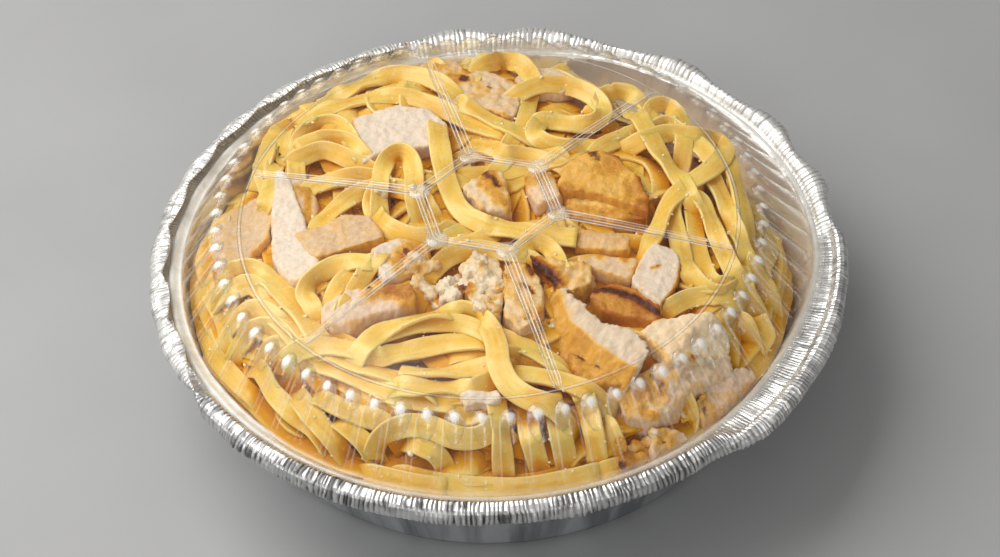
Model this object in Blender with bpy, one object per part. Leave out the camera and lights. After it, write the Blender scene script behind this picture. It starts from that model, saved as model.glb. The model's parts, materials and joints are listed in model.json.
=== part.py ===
"""Fettuccine alfredo with grilled chicken in a round crimped foil pan, under a clear fluted dome lid.

Units are metres (sizes below are named in millimetres and turned by MM).  The pan stands
on the floor plane z = 0, its axis is +Z, and its front faces -Y.

Pieces:  foil_pan   thin round tray with a hand-crimped rim
         dome_lid   clear shallow dome with a fluted wall and a six-armed top
         pasta_bed  the heap of noodles and sauce, one solid out to its uneven outline
         chicken_NN the sliced pieces of grilled chicken lying in and on the noodles
"""
import bpy
import bmesh
import math
import random
from mathutils import Vector, Matrix

MM = 0.001

# ------------------------------------------------------------------ named sizes (mm)
GAP = 0.35                 # clear space kept between touching pieces

# pan
FOIL_T = 0.5               # wall of the tray (stand-in for thin foil)
BASE_R = 86.0              # flat base
CORNER_R1, CORNER_Z1 = 90.0, 1.4
CORNER_R2, CORNER_Z2 = 91.8, 5.0
WALL_R, WALL_Z = 103.6, 41.7
FLANGE_Z = 42.4
FLANGE_R0, FLANGE_R1 = 104.8, 107.7
CREST_R, CREST_Z = 112.6, 46.1      # top of the folded rim, front and left
SKIRT_R, SKIRT_Z = 113.3, 40.9      # lower edge of the folded rim, front
WAVE_PEAKS = (95.0, 78.0, 50.0, 29.0, 13.0)   # crests of the loose rim, degrees
PAN_COLS = 96              # points round the rim; the wall and base have half as many

# lid
LID_T = 0.5
LID_FLANGE_R, LID_FLANGE_Z = 107.2, 43.45
LID_BASE_R, LID_BASE_Z = 102.7, 44.0
LID_WALL_R, LID_WALL_Z = 90.3, 60.7
LID_EDGE_R, LID_EDGE_Z = 85.3, 61.6
LID_RISE = 4.3             # how far the middle of the top stands above its edge
FLUTES = 67
FLUTE_DEEP = 1.0           # half depth of a flute at the top of the wall
RIB_H = 0.8                # height of the hexagon and its arms above the top
HEX_R = 25.0
HEX_BAND = 4.0
ARM_END_R = 81.0
ARM_PHASE = -16.2          # direction of the first arm, degrees
LID_COLS = 2 * FLUTES      # points round the fluted wall
LID_TOP_COLS = 72
LID_INNER_COLS = 36

# heap
BURY = 3.2                 # how far a piece of chicken stands out of the noodles round it
HEAP_COLS = 45
HEAP_RINGS = (15.0, 28.0, 41.0, 53.0, 64.0, 74.0, 82.5, 89.5, 95.5)

# chicken: name -> x, y of the middle, height of the top face, length, width, depth,
# heading (degrees), slope of the top face along x and y, taper of the far end, lean
CHICKEN = {
    "chicken_01": (-29.5, 43.8, 60.5, 34, 24, 9, 17, 0.00, 0.04, 0.85),
    "chicken_02": (-67.5, -1.0, 60.1, 50, 14, 11, -74, 0.06, 0.00, 0.80),
    "chicken_03": (-59.8, 11.0, 58.1, 25, 9, 9, -75, -0.25, 0.00, 0.90),
    "chicken_04": (-48.7, -8.6, 61.5, 26, 18, 8, 25, 0.03, 0.03, 1.10),
    "chicken_05": (-28.0, -18.6, 61.9, 18, 18, 12, 17, -0.10, 0.10, 1.00),
    "chicken_06": (-39.4, -40.5, 60.9, 34, 15, 12, 25, 0.00, 0.12, 1.15),
    "chicken_07": (-3.3, 64.9, 59.1, 33, 23, 14, -16, 0.00, -0.05, 0.80),
    "chicken_08": (21.4, 69.5, 56.5, 18, 13, 8, -10, 0.00, -0.10, 0.80),
    "chicken_09": (1.2, 8.6, 63.3, 20, 14, 10, -69, 0.00, 0.00, 0.85),
    "chicken_10": (18.0, 11.6, 61.3, 16, 11, 9, -78, 0.10, 0.00, 0.80),
    "chicken_11": (38.3, 6.9, 62.5, 35, 26, 14, -69, 0.00, 0.10, 0.90),
    "chicken_12": (36.6, -14.5, 60.3, 18, 9, 6, -12, 0.00, 0.20, 1.00),
    "chicken_13": (37.5, -28.2, 61.7, 21, 11, 7, -6, 0.00, 0.15, 0.90),
    "chicken_14": (53.1, -32.1, 61.7, 25, 15, 11, 61, -0.08, 0.05, 0.85),
    "chicken_15": (41.8, -43.0, 60.3, 25, 14, 10, -29, 0.00, 0.10, 0.90),
    "chicken_16": (21.4, -31.7, 63.1, 24, 12, 10, -23, -0.10, 0.05, 0.85),
    "chicken_17": (30.0, -54.0, 61.1, 44, 19, 14, -44, 0.12, 0.20, 0.80),
    "chicken_18": (30.0, -67.0, 55.1, 22, 12, 11, -28, 0.00, 0.15, 0.90),
    "chicken_19": (55.6, -62.0, 55.5, 50, 20, 11, 37, 0.00, 0.12, 0.85),
    "chicken_20": (71.4, -63.5, 42.5, 26, 15, 9, 36, -0.30, 0.35, 0.85),
    "chicken_21": (51.9, -82.5, 39.5, 15, 10, 8, 20, -0.20, 0.40, 0.90),
    "chicken_22": (40.0, -88.0, 39.1, 12, 8, 7, 19, -0.15, 0.40, 0.90),
    "chicken_23": (-2.4, -34.7, 61.9, 26, 12, 10, -85, 0.00, 0.05, 0.85),
    "chicken_24": (10.6, -40.0, 62.3, 27, 12, 11, 85, 0.00, 0.08, 0.90),
    "chicken_25": (-82.0, 5.0, 53.0, 30, 17, 10, 85, 0.35, 0.00, 0.90),
    "chicken_26": (-5.2, -77.5, 57.5, 15, 9, 8, 9, 0.00, 0.20, 0.90),
    "chicken_27": (-14.0, -34.5, 60.5, 9, 8, 8, -80, 0.00, 0.10, 1.00),
}
# the piece that lies over its neighbours comes first
CHICKEN_ORDER = ("chicken_17", "chicken_16", "chicken_11", "chicken_14", "chicken_13", "chicken_24",
                 "chicken_09", "chicken_04", "chicken_05", "chicken_01", "chicken_07", "chicken_06",
                 "chicken_02", "chicken_15", "chicken_23", "chicken_19", "chicken_12", "chicken_10",
                 "chicken_27", "chicken_25", "chicken_08", "chicken_18", "chicken_26", "chicken_20",
                 "chicken_03", "chicken_21", "chicken_22")
# outline of a slice: straight sides with its corners cut off, as fractions of half the size
OUTLINE = ((1.0, -0.5), (1.0, 0.5), (0.72, 1.0), (-0.72, 1.0),
           (-1.0, 0.55), (-1.0, -0.55), (-0.7, -1.0), (0.7, -1.0))
PIECE_SIDES = len(OUTLINE)


# ------------------------------------------------------------------ scene start
for ob in list(bpy.data.objects):
    bpy.data.objects.remove(ob, do_unlink=True)


def material(name, color, rough, metallic=0.0, alpha=1.0, transmission=0.0):
    mat = bpy.data.materials.new(name)
    mat.use_nodes = True
    bsdf = mat.node_tree.nodes["Principled BSDF"]
    bsdf.inputs["Base Color"].default_value = (*color, 1.0)
    bsdf.inputs["Roughness"].default_value = rough
    bsdf.inputs["Metallic"].default_value = metallic
    bsdf.inputs["Alpha"].default_value = alpha
    bsdf.inputs["Transmission Weight"].default_value = transmission
    return mat


MAT_FOIL = material("foil", (0.78, 0.78, 0.79), 0.28, metallic=1.0)
MAT_LID = material("clear_plastic", (0.95, 0.96, 0.96), 0.05, alpha=0.25, transmission=0.9)
MAT_PASTA = material("pasta", (0.83, 0.60, 0.25), 0.35)
MAT_CHICKEN = material("chicken", (0.78, 0.58, 0.38), 0.5)


def wrap_deg(a):
    """Angle brought to -180..180."""
    return (a + 180.0) % 360.0 - 180.0


def smooth01(x):
    x = min(max(x, 0.0), 1.0)
    return x * x * (3.0 - 2.0 * x)


def new_object(name, verts, faces, mat, smooth=True):
    mesh = bpy.data.meshes.new(name)
    mesh.from_pydata([tuple(c * MM for c in v) for v in verts], [], faces)
    mesh.update()
    ob = bpy.data.objects.new(name, mesh)
    bpy.context.scene.collection.objects.link(ob)
    ob.data.materials.append(mat)
    bm = bmesh.new()
    bm.from_mesh(mesh)
    bmesh.ops.recalc_face_normals(bm, faces=bm.faces)
    bmesh.ops.triangulate(bm, faces=bm.faces)
    bm.to_mesh(mesh)
    bm.free()
    for poly in mesh.polygons:
        poly.use_smooth = smooth
    return ob


def ring_grid(rings):
    """Faces between neighbouring rings that all have the same number of points."""
    faces = []
    for a, b in zip(rings[:-1], rings[1:]):
        n = len(a)
        for j in range(n):
            faces.append((a[j], a[(j + 1) % n], b[(j + 1) % n], b[j]))
    return faces


def bridge(a, b):
    """Triangles between two rings whose points are spread evenly but differ in number."""
    faces = []
    m, n = len(a), len(b)
    i = j = 0
    while i < m or j < n:
        if j >= n or (i < m and (i + 1) * n <= (j + 1) * m):
            faces.append((a[i % m], a[(i + 1) % m], b[j % n]))
            i += 1
        else:
            faces.append((b[(j + 1) % n], b[j % n], a[i % m]))
            j += 1
    return faces


def connect(rings):
    """Skin a run of rings, also where neighbours differ in their number of points."""
    faces = []
    for a, b in zip(rings[:-1], rings[1:]):
        faces += ring_grid([a, b]) if len(a) == len(b) else bridge(a, b)
    return faces


# ------------------------------------------------------------------ pan
def rim_out(deg):
    """How far the loose rim opens outward beyond the folded rim at this heading."""
    right = smooth01((deg + 62.0) / 20.0) * smooth01((108.0 - deg) / 12.0)
    wave = 0.0
    for peak in WAVE_PEAKS:
        wave = max(wave, math.exp(-((deg - peak) / 6.0) ** 2))
    calm = smooth01((4.0 - deg) / 6.0)          # the right-hand side stands out evenly
    level = 0.6 + 0.4 * max(wave, calm)
    scallop = -1.1 * abs(math.sin(math.radians(deg * 360.0 / 23.0)))
    left = smooth01((abs(wrap_deg(deg - 160.0)) - 52.0) / -6.0)
    return 5.6 * right * level + scallop * left


def pan_profile(deg):
    """Middle line of the sheet from the axis outwards, with the rim for this heading."""
    out = rim_out(deg)
    loose = smooth01(out / 3.0)
    crimp = 0.5 * math.sin(math.radians(deg * 27.0)) + 0.3 * math.sin(math.radians(deg * 18.0 + 40.0))
    crest_r = CREST_R + out * 0.92
    crest_z = CREST_Z - 0.9 * loose + 0.35 * crimp
    skirt_r = SKIRT_R + out + 0.25 * crimp
    skirt_z = SKIRT_Z + 1.2 * loose
    return [(BASE_R, FOIL_T / 2), (CORNER_R1, CORNER_Z1), (CORNER_R2, CORNER_Z2),
            (WALL_R, WALL_Z), (FLANGE_R0, FLANGE_Z), (FLANGE_R1, FLANGE_Z),
            (crest_r, crest_z), (skirt_r, skirt_z)]


def offset_profile(points, t):
    """Profile moved by t to its left (the inner side of the tray)."""
    out = []
    for i, (r, z) in enumerate(points):
        dirs = []
        if i > 0:
            dirs.append((r - points[i - 1][0], z - points[i - 1][1]))
        else:
            dirs.append((1.0, 0.0))
        if i < len(points) - 1:
            dirs.append((points[i + 1][0] - r, points[i + 1][1] - z))
        ns = []
        for dx, dz in dirs:
            ln = math.hypot(dx, dz)
            ns.append((-dz / ln, dx / ln))
        nx = sum(n[0] for n in ns)
        nz = sum(n[1] for n in ns)
        ln = math.hypot(nx, nz)
        nx, nz = nx / ln, nz / ln
        k = 1.0 / max(0.45, nx * ns[0][0] + nz * ns[0][1])
        out.append((r + nx * t * k, z + nz * t * k))
    return out


def build_pan():
    verts, rings = [], []
    cols = [360.0 * j / PAN_COLS for j in range(PAN_COLS)]
    prof_in, prof_out = [], []
    for deg in cols:
        p = pan_profile(wrap_deg(deg))
        prof_in.append(offset_profile(p, FOIL_T / 2))
        prof_out.append(offset_profile(p, -FOIL_T / 2))
    count = len(prof_in[0])

    def add_ring(profiles, k):
        ring = []
        step = 1 if k >= 4 else 2
        for deg, prof in list(zip(cols, profiles))[::step]:
            a = math.radians(deg)
            r, z = prof[k]
            ring.append(len(verts))
            verts.append((r * math.cos(a), r * math.sin(a), max(z, 0.0)))
        rings.append(ring)

    for k in range(count):
        add_ring(prof_in, k)
    for k in reversed(range(count)):
        add_ring(prof_out, k)
    faces = connect(rings)
    verts.append((0.0, 0.0, FOIL_T))
    top = len(verts) - 1
    verts.append((0.0, 0.0, 0.0))
    low = len(verts) - 1
    first, last = rings[0], rings[-1]
    n = len(first)
    for j in range(n):
        faces.append((top, first[j], first[(j + 1) % n]))
        faces.append((low, last[(j + 1) % n], last[j]))
    return new_object("foil_pan", verts, faces, MAT_FOIL)


def pan_inner_r(z):
    """Inside radius of the tray wall at height z."""
    if z < CORNER_Z2:
        f = (z - FOIL_T) / (CORNER_Z2 - FOIL_T)
        return BASE_R + (CORNER_R2 - BASE_R) * smooth01(0.15 + 0.85 * f) - 0.6
    f = (z - CORNER_Z2) / (WALL_Z - CORNER_Z2)
    return CORNER_R2 + (WALL_R - CORNER_R2) * f - 0.45


# ------------------------------------------------------------------ lid
def lid_top_z(r):
    """Middle of the film on the top, without the ribs."""
    return LID_EDGE_Z + LID_RISE * (1.0 - (min(r, LID_EDGE_R) / LID_EDGE_R) ** 2)


def hex_radius(deg, size):
    """Distance to the side of a hexagon whose corners point along the arms."""
    a = (deg - ARM_PHASE) % 60.0 - 30.0
    return size * math.cos(math.radians(30.0)) / math.cos(math.radians(a))


def build_lid():
    verts = []
    wall_dz = LID_WALL_Z - LID_BASE_Z
    wall_dr = LID_BASE_R - LID_WALL_R
    wl = math.hypot(wall_dz, wall_dr)
    wn = (wall_dz / wl, wall_dr / wl)

    def skin(t):
        """One face of the film, moved by t along its outward direction."""
        mine = []

        def ring(cols, arm_half, fn):
            idx = []
            per = cols // 6
            for j in range(cols):
                deg = 360.0 * j / cols + ARM_PHASE
                if arm_half and j % per == 1:
                    deg = 360.0 * (j - 1) / cols + ARM_PHASE + arm_half
                if arm_half and j % per == per - 1:
                    deg = 360.0 * (j + 1) / cols + ARM_PHASE - arm_half
                r, z = fn(deg, j % 2 == 0, j % per == 0)
                a = math.radians(deg)
                idx.append(len(verts))
                verts.append((r * math.cos(a), r * math.sin(a), z))
            mine.append(idx)

        def arm_ring(cols, arm_half, radius):
            ring(cols, arm_half, lambda d, even, arm: (radius, lid_top_z(radius) + t + (RIB_H if arm else 0.0)))

        half, fine, top, inner = FLUTES, LID_COLS, LID_TOP_COLS, LID_INNER_COLS
        ring(half, 0, lambda d, even, arm: (LID_FLANGE_R, LID_FLANGE_Z + t))
        ring(fine, 0, lambda d, even, arm: (LID_BASE_R + (0.45 if even else -0.45) + t * wn[0],
                                            LID_BASE_Z - 0.45 + t))
        ring(fine, 0, lambda d, even, arm: (LID_WALL_R + (FLUTE_DEEP if even else -FLUTE_DEEP) + t * wn[0] * 0.85,
                                            LID_WALL_Z + t * wn[1] * 1.5))
        ring(top, 0, lambda d, even, arm: (LID_EDGE_R + t * 0.2, LID_EDGE_Z + t))
        arm_ring(top, 2.4, ARM_END_R)
        arm_ring(inner, 3.6, 54.0)
        ring(inner, 7.0, lambda d, even, arm: (hex_radius(d, HEX_R), lid_top_z(HEX_R) + t + (RIB_H if arm else 0.0)))
        ring(inner, 7.0, lambda d, even, arm: (hex_radius(d, HEX_R - HEX_BAND / 2), lid_top_z(HEX_R) + t + RIB_H))
        ring(inner, 7.0, lambda d, even, arm: (hex_radius(d, HEX_R - HEX_BAND), lid_top_z(HEX_R - HEX_BAND) + t))
        centre = len(verts)
        verts.append((0.0, 0.0, lid_top_z(0.0) + t))
        return mine, centre

    faces = []
    skins = [skin(LID_T / 2), skin(-LID_T / 2)]
    for which, (mine, centre) in enumerate(skins):
        part = connect(mine)
        last = mine[-1]
        n = len(last)
        for j in range(n):
            part.append((last[j], last[(j + 1) % n], centre))
        if which:
            part = [tuple(reversed(f)) for f in part]
        faces += part
    a, b = skins[0][0][0], skins[1][0][0]
    for j in range(len(a)):
        k = (j + 1) % len(a)
        faces.append((a[j], b[j], b[k], a[k]))
    return new_object("dome_lid", verts, faces, MAT_LID)


def lid_limit(r):
    """Highest point the food may reach under the lid at radius r."""
    if r < LID_EDGE_R - 1.0:
        return lid_top_z(r) - LID_T / 2 - GAP - 0.25
    f = (r - (LID_EDGE_R - 1.0)) / (LID_BASE_R - LID_EDGE_R - 1.0)
    return LID_EDGE_Z - 0.9 - f * (LID_EDGE_Z - 1.2 - LID_BASE_Z)


# ------------------------------------------------------------------ heap
def strand(x, y, heading, pitch, phase):
    """Rounded ridges of noodles lying side by side along one heading."""
    a = math.radians(heading)
    s = (-math.sin(a) * x + math.cos(a) * y) / pitch + phase
    return abs(math.sin(math.pi * s))


def heap_top(x, y):
    r = math.hypot(x, y)
    deg = math.degrees(math.atan2(y, x))
    # the heap stands back from the wall at the rear right and a little at the rear left
    back = 11.0 * smooth01(1.25 - abs(wrap_deg(deg - 44.0)) / 44.0) \
        + 8.0 * smooth01(1.0 - abs(wrap_deg(deg - 152.0)) / 26.0)
    rr = r + back
    crown = 57.5 + 3.2 * (1.0 - min(1.0, (r / 80.0) ** 2))
    shoulder = smooth01((rr - 78.0) / 26.0)
    z = crown * (1.0 - shoulder) + 38.5 * shoulder
    # the bundles of noodles cross each other in patches
    patch = math.sin(x * 0.045 + 1.0) * math.cos(y * 0.05 - 0.6)
    w = smooth01(0.5 + 1.2 * patch)
    ridges = w * strand(x, y, 20.0 + 25.0 * math.sin(y * 0.02), 17.0, 0.2) \
        + (1.0 - w) * strand(x, y, 100.0 + 20.0 * math.sin(x * 0.03), 19.0, 0.6)
    z += 2.6 * ridges - 2.2
    dip = 2.2 * math.sin(x * 0.11 + 0.7) * math.sin(y * 0.13 + 1.9)
    z += dip
    # the noodles give way where a piece of chicken lies in them
    for px, py, pz, length, width, depth, yaw, sx, sy, taper in CHICKEN.values():
        a = math.radians(yaw)
        u = (x - px) * math.cos(a) + (y - py) * math.sin(a)
        v = -(x - px) * math.sin(a) + (y - py) * math.cos(a)
        near = math.hypot(u / (0.5 * length + 3.0), v / (0.5 * width + 3.0))
        if near < 1.25:
            top = pz + sx * (x - px) + sy * (y - py) - BURY
            z = min(z, top + 6.0 * max(0.0, near - 1.0) * 4.0)
    return min(z, lid_limit(r) - 0.6)


def build_heap():
    verts, rings = [], []

    def add(points):
        idx = []
        for p in points:
            idx.append(len(verts))
            verts.append(p)
        rings.append(idx)

    dirs = [math.radians(360.0 * (j + 0.5) / HEAP_COLS) for j in range(HEAP_COLS)]
    for r in HEAP_RINGS:
        add([(r * math.cos(a), r * math.sin(a), heap_top(r * math.cos(a), r * math.sin(a))) for a in dirs])
    edge = []
    for a in dirs:
        z = min(40.9, heap_top(101.0 * math.cos(a), 101.0 * math.sin(a)) - 1.0)
        r = pan_inner_r(z) - GAP - 0.1
        edge.append((r * math.cos(a), r * math.sin(a), z))
    add(edge)
    for z in (CORNER_Z2 + 0.6,):
        r = pan_inner_r(z) - GAP - 0.1
        add([(r * math.cos(a), r * math.sin(a), z) for a in dirs])
    add([((BASE_R - 0.6) * math.cos(a), (BASE_R - 0.6) * math.sin(a), FOIL_T + GAP) for a in dirs])
    faces = ring_grid(rings)
    verts.append((0.0, 0.0, heap_top(0.0, 0.0)))
    top = len(verts) - 1
    verts.append((0.0, 0.0, FOIL_T + GAP))
    low = len(verts) - 1
    n = HEAP_COLS
    for j in range(n):
        faces.append((top, rings[0][j], rings[0][(j + 1) % n]))
        faces.append((low, rings[-1][(j + 1) % n], rings[-1][j]))
    return new_object("pasta_bed", verts, faces, MAT_PASTA)


# ------------------------------------------------------------------ chicken
def chicken_points(name):
    """Corners of one sliced piece: a rounded slab with a fuller belt and uneven edges."""
    x, y, z_top, length, width, depth, yaw, slope_x, slope_y, taper = CHICKEN[name]
    rnd = random.Random(int(name[-2:]) * 7919 + 3)
    normal = Vector((-slope_x, -slope_y, 1.0)).normalized()
    along = Vector((math.cos(math.radians(yaw)), math.sin(math.radians(yaw)), 0.0))
    along = (along - normal * along.dot(normal)).normalized()
    across = normal.cross(along)
    middle = Vector((x, y, z_top)) - normal * (depth / 2)
    levels = ((-0.50, 0.80), (0.22, 1.00), (0.50, 0.86))
    rings = []
    wob = [rnd.uniform(0.88, 1.06) for _ in range(PIECE_SIDES)]
    for level, inset in levels:
        ring = []
        for j in range(PIECE_SIDES):
            c, s = OUTLINE[j]
            u = 0.5 * length * c * inset * wob[j]
            side = 1.0 + (taper - 1.0) * (u / length + 0.5)
            v = 0.5 * width * s * inset * wob[j] * side
            w = level * depth + rnd.uniform(-0.04, 0.04) * depth
            ring.append(middle + along * u + across * v + normal * w)
        rings.append(ring)
    return rings, middle, normal, depth


def fit_under_lid(p):
    """Keep a corner below the lid film and inside the pan wall."""
    r = math.hypot(p.x, p.y)
    wall = 101.0 if p.z > WALL_Z else pan_inner_r(p.z) - GAP - 1.2
    if p.z > LID_BASE_Z:
        f = (p.z - LID_BASE_Z) / (LID_WALL_Z - LID_BASE_Z)
        wall = LID_BASE_R - f * (LID_BASE_R - LID_WALL_R) - 2.6
    if r > wall:
        p = Vector((p.x * wall / r, p.y * wall / r, p.z))
        r = wall
    return Vector((p.x, p.y, min(p.z, lid_limit(r))))


def build_piece(name, grow=0.0):
    rings, middle, normal, depth = chicken_points(name)
    verts, idx = [], []
    for ring in rings:
        row = []
        for p in ring:
            q = fit_under_lid(p)
            row.append(len(verts))
            verts.append((q.x, q.y, q.z))
        idx.append(row)
    faces = ring_grid(idx)
    faces.append(tuple(reversed(idx[0])))
    faces.append(tuple(idx[-1]))
    ob = new_object(name if not grow else name + "_room", verts, faces, MAT_CHICKEN)
    if grow:
        bm = bmesh.new()
        bm.from_mesh(ob.data)
        bm.normal_update()
        moves = [(v, v.normal.copy() * min(v.calc_shell_factor(), 1.6)) for v in bm.verts]
        for v, n in moves:
            v.co += n * grow * MM
        bm.to_mesh(ob.data)
        bm.free()
        ob.hide_render = True
        ob.display_type = "WIRE"
    return ob


def cut(target, cutter):
    mod = target.modifiers.new("room", "BOOLEAN")
    mod.operation = "DIFFERENCE"
    mod.solver = "EXACT"
    mod.object = cutter
    bpy.context.view_layer.update()
    graph = bpy.context.evaluated_depsgraph_get()
    mesh = bpy.data.meshes.new_from_object(target.evaluated_get(graph))
    target.modifiers.clear()
    old = target.data
    target.data = mesh
    bpy.data.meshes.remove(old)


def keep_largest(ob):
    """Drop loose crumbs left by a cut, so the piece stays one body."""
    bm = bmesh.new()
    bm.from_mesh(ob.data)
    bmesh.ops.remove_doubles(bm, verts=bm.verts, dist=0.00003)
    bmesh.ops.dissolve_degenerate(bm, edges=bm.edges, dist=0.00002)
    seen, bodies = set(), []
    for face in bm.faces:
        if face in seen:
            continue
        stack, body = [face], []
        seen.add(face)
        while stack:
            f = stack.pop()
            body.append(f)
            for e in f.edges:
                for g in e.link_faces:
                    if g not in seen:
                        seen.add(g)
                        stack.append(g)
        bodies.append(body)
    bodies.sort(key=lambda b: -sum(f.calc_area() for f in b))
    drop = [f for b in bodies[1:] for f in b]
    if drop:
        bmesh.ops.delete(bm, geom=drop, context="FACES")
    bmesh.ops.triangulate(bm, faces=bm.faces)
    bmesh.ops.recalc_face_normals(bm, faces=bm.faces)
    bm.to_mesh(ob.data)
    bm.free()
    ob.data.materials.clear()


def boxes_touch(a, b, room=1.0):
    lo_a = [min(v.co[i] for v in a.data.vertices) for i in range(3)]
    hi_a = [max(v.co[i] for v in a.data.vertices) for i in range(3)]
    lo_b = [min(v.co[i] for v in b.data.vertices) for i in range(3)]
    hi_b = [max(v.co[i] for v in b.data.vertices) for i in range(3)]
    return all(lo_a[i] - room * MM <= hi_b[i] and lo_b[i] - room * MM <= hi_a[i] for i in range(3))


pan = build_pan()
lid = build_lid()
heap = build_heap()

pieces = {}
rooms = {}
for name in CHICKEN_ORDER:
    piece = build_piece(name)
    for other in pieces:
        if boxes_touch(piece, rooms[other]):
            cut(piece, rooms[other])
    keep_largest(piece)
    piece.data.materials.append(MAT_CHICKEN)
    pieces[name] = piece
    rooms[name] = build_piece(name, grow=GAP)

for name in CHICKEN_ORDER:
    cut(heap, rooms[name])
keep_largest(heap)
heap.data.materials.append(MAT_PASTA)

for ob in rooms.values():
    bpy.data.objects.remove(ob, do_unlink=True)
for ob in [heap] + list(pieces.values()):
    for poly in ob.data.polygons:
        poly.use_smooth = True
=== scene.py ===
import bpy
import bmesh
import json
import math
import random
import numpy as np
from mathutils import Matrix, Vector, noise

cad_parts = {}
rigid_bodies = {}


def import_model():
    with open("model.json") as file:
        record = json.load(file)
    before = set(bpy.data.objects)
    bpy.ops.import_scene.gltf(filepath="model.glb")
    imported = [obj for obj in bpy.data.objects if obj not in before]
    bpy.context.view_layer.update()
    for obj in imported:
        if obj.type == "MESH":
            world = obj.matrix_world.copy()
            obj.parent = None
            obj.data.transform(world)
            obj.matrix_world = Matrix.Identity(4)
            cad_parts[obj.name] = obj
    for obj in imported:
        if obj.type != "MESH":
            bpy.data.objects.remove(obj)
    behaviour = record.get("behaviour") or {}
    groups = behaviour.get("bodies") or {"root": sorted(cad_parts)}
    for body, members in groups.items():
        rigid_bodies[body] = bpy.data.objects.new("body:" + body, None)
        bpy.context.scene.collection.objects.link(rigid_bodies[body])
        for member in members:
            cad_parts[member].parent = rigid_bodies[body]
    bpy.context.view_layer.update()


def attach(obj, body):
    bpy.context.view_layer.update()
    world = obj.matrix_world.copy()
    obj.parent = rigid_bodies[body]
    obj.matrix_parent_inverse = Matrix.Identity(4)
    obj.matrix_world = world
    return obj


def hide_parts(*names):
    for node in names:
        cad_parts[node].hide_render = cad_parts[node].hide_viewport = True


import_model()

MM = 0.001

# ------------------------------------------------------------------ sizes shared with the CAD
BASE_R = 86.0
CORNER = ((90.0, 1.4), (91.8, 5.0))
WALL_R, WALL_Z = 103.6, 41.7
FLANGE_R, FLANGE_Z = 104.8, 42.4
LID_EDGE_R, LID_EDGE_Z = 85.3, 61.6
LID_RISE = 4.3
LID_WALL_R, LID_WALL_Z = 90.3, 60.7
LID_BASE_R, LID_BASE_Z = 102.7, 44.0
HEX_R, HEX_BAND = 25.0, 4.0
ARM_END_R = 81.0
ARM_PHASE = -16.2
FLUTES = 68


def wrap_deg(a):
    return (a + 180.0) % 360.0 - 180.0


def smooth01(x):
    x = np.clip(x, 0.0, 1.0)
    return x * x * (3.0 - 2.0 * x)


def lid_top_z(r):
    return LID_EDGE_Z + LID_RISE * (1.0 - (np.minimum(r, LID_EDGE_R) / LID_EDGE_R) ** 2)


def lid_limit(r):
    """Highest point the food may reach under the lid at radius r."""
    r = np.asarray(r, float)
    f = (r - (LID_EDGE_R - 1.0)) / (LID_BASE_R - LID_EDGE_R - 1.0)
    outer = LID_EDGE_Z - 0.9 - np.clip(f, 0, 1.2) * (LID_EDGE_Z - 1.2 - LID_BASE_Z)
    return np.where(r < LID_EDGE_R - 1.0, lid_top_z(r) - 0.7, outer)


def pan_inner_r(z):
    z = np.asarray(z, float)
    r1, z1 = CORNER[1]
    low = BASE_R + (r1 - BASE_R) * smooth01(0.15 + 0.85 * (z - 0.5) / (z1 - 0.5)) - 0.6
    high = r1 + (WALL_R - r1) * (z - z1) / (WALL_Z - z1) - 0.45
    return np.where(z < z1, low, high)


# ------------------------------------------------------------------ small tools
def lin(r, g, b):
    """Linear colour from 8-bit display values."""
    def one(c):
        c /= 255.0
        return c / 12.92 if c <= 0.04045 else ((c + 0.055) / 1.055) ** 2.4
    return (one(r), one(g), one(b))


def outward(verts, quads, tris):
    """Turn a closed shape's faces outwards, judged by its signed volume."""
    v = np.asarray(verts, float)
    quads = np.asarray(quads, np.int64).reshape(-1, 4)
    tris = np.asarray(tris, np.int64).reshape(-1, 3)
    t = np.concatenate([quads[:, [0, 1, 2]], quads[:, [0, 2, 3]], tris])
    volume = np.einsum("ij,ij->i", v[t[:, 0]], np.cross(v[t[:, 1]], v[t[:, 2]])).sum()
    if volume < 0:
        quads, tris = quads[:, ::-1], tris[:, ::-1]
    return verts, quads, tris


def tidy_normals(ob):
    bm = bmesh.new()
    bm.from_mesh(ob.data)
    bmesh.ops.recalc_face_normals(bm, faces=bm.faces)
    bm.to_mesh(ob.data)
    bm.free()


def mesh_object(name, verts, quads, tris, mat, floats=None, colors=None, smooth=True):
    """An object from numpy arrays; floats and colors are point attributes."""
    verts = np.asarray(verts, float)
    quads = np.asarray(quads, np.int64).reshape(-1, 4)
    tris = np.asarray(tris, np.int64).reshape(-1, 3)
    mesh = bpy.data.meshes.new(name)
    mesh.vertices.add(len(verts))
    mesh.vertices.foreach_set("co", (verts * MM).astype(np.float32).ravel())
    loops = np.concatenate([quads.ravel(), tris.ravel()]).astype(np.int32)
    mesh.loops.add(len(loops))
    mesh.loops.foreach_set("vertex_index", loops)
    starts = np.concatenate([np.arange(len(quads)) * 4, len(quads) * 4 + np.arange(len(tris)) * 3])
    mesh.polygons.add(len(starts))
    mesh.polygons.foreach_set("loop_start", starts.astype(np.int32))
    mesh.polygons.foreach_set("use_smooth", np.full(len(starts), smooth))
    for key, values in (floats or {}).items():
        mesh.attributes.new(key, "FLOAT", "POINT").data.foreach_set("value", np.asarray(values, np.float32))
    for key, values in (colors or {}).items():
        rgba = np.ones((len(verts), 4), np.float32)
        rgba[:, :3] = values
        mesh.attributes.new(key, "FLOAT_COLOR", "POINT").data.foreach_set("color", rgba.ravel())
    mesh.update(calc_edges=True)
    mesh.validate()
    ob = bpy.data.objects.new(name, mesh)
    bpy.context.scene.collection.objects.link(ob)
    ob.data.materials.append(mat)
    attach(ob, "root")
    return ob


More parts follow.
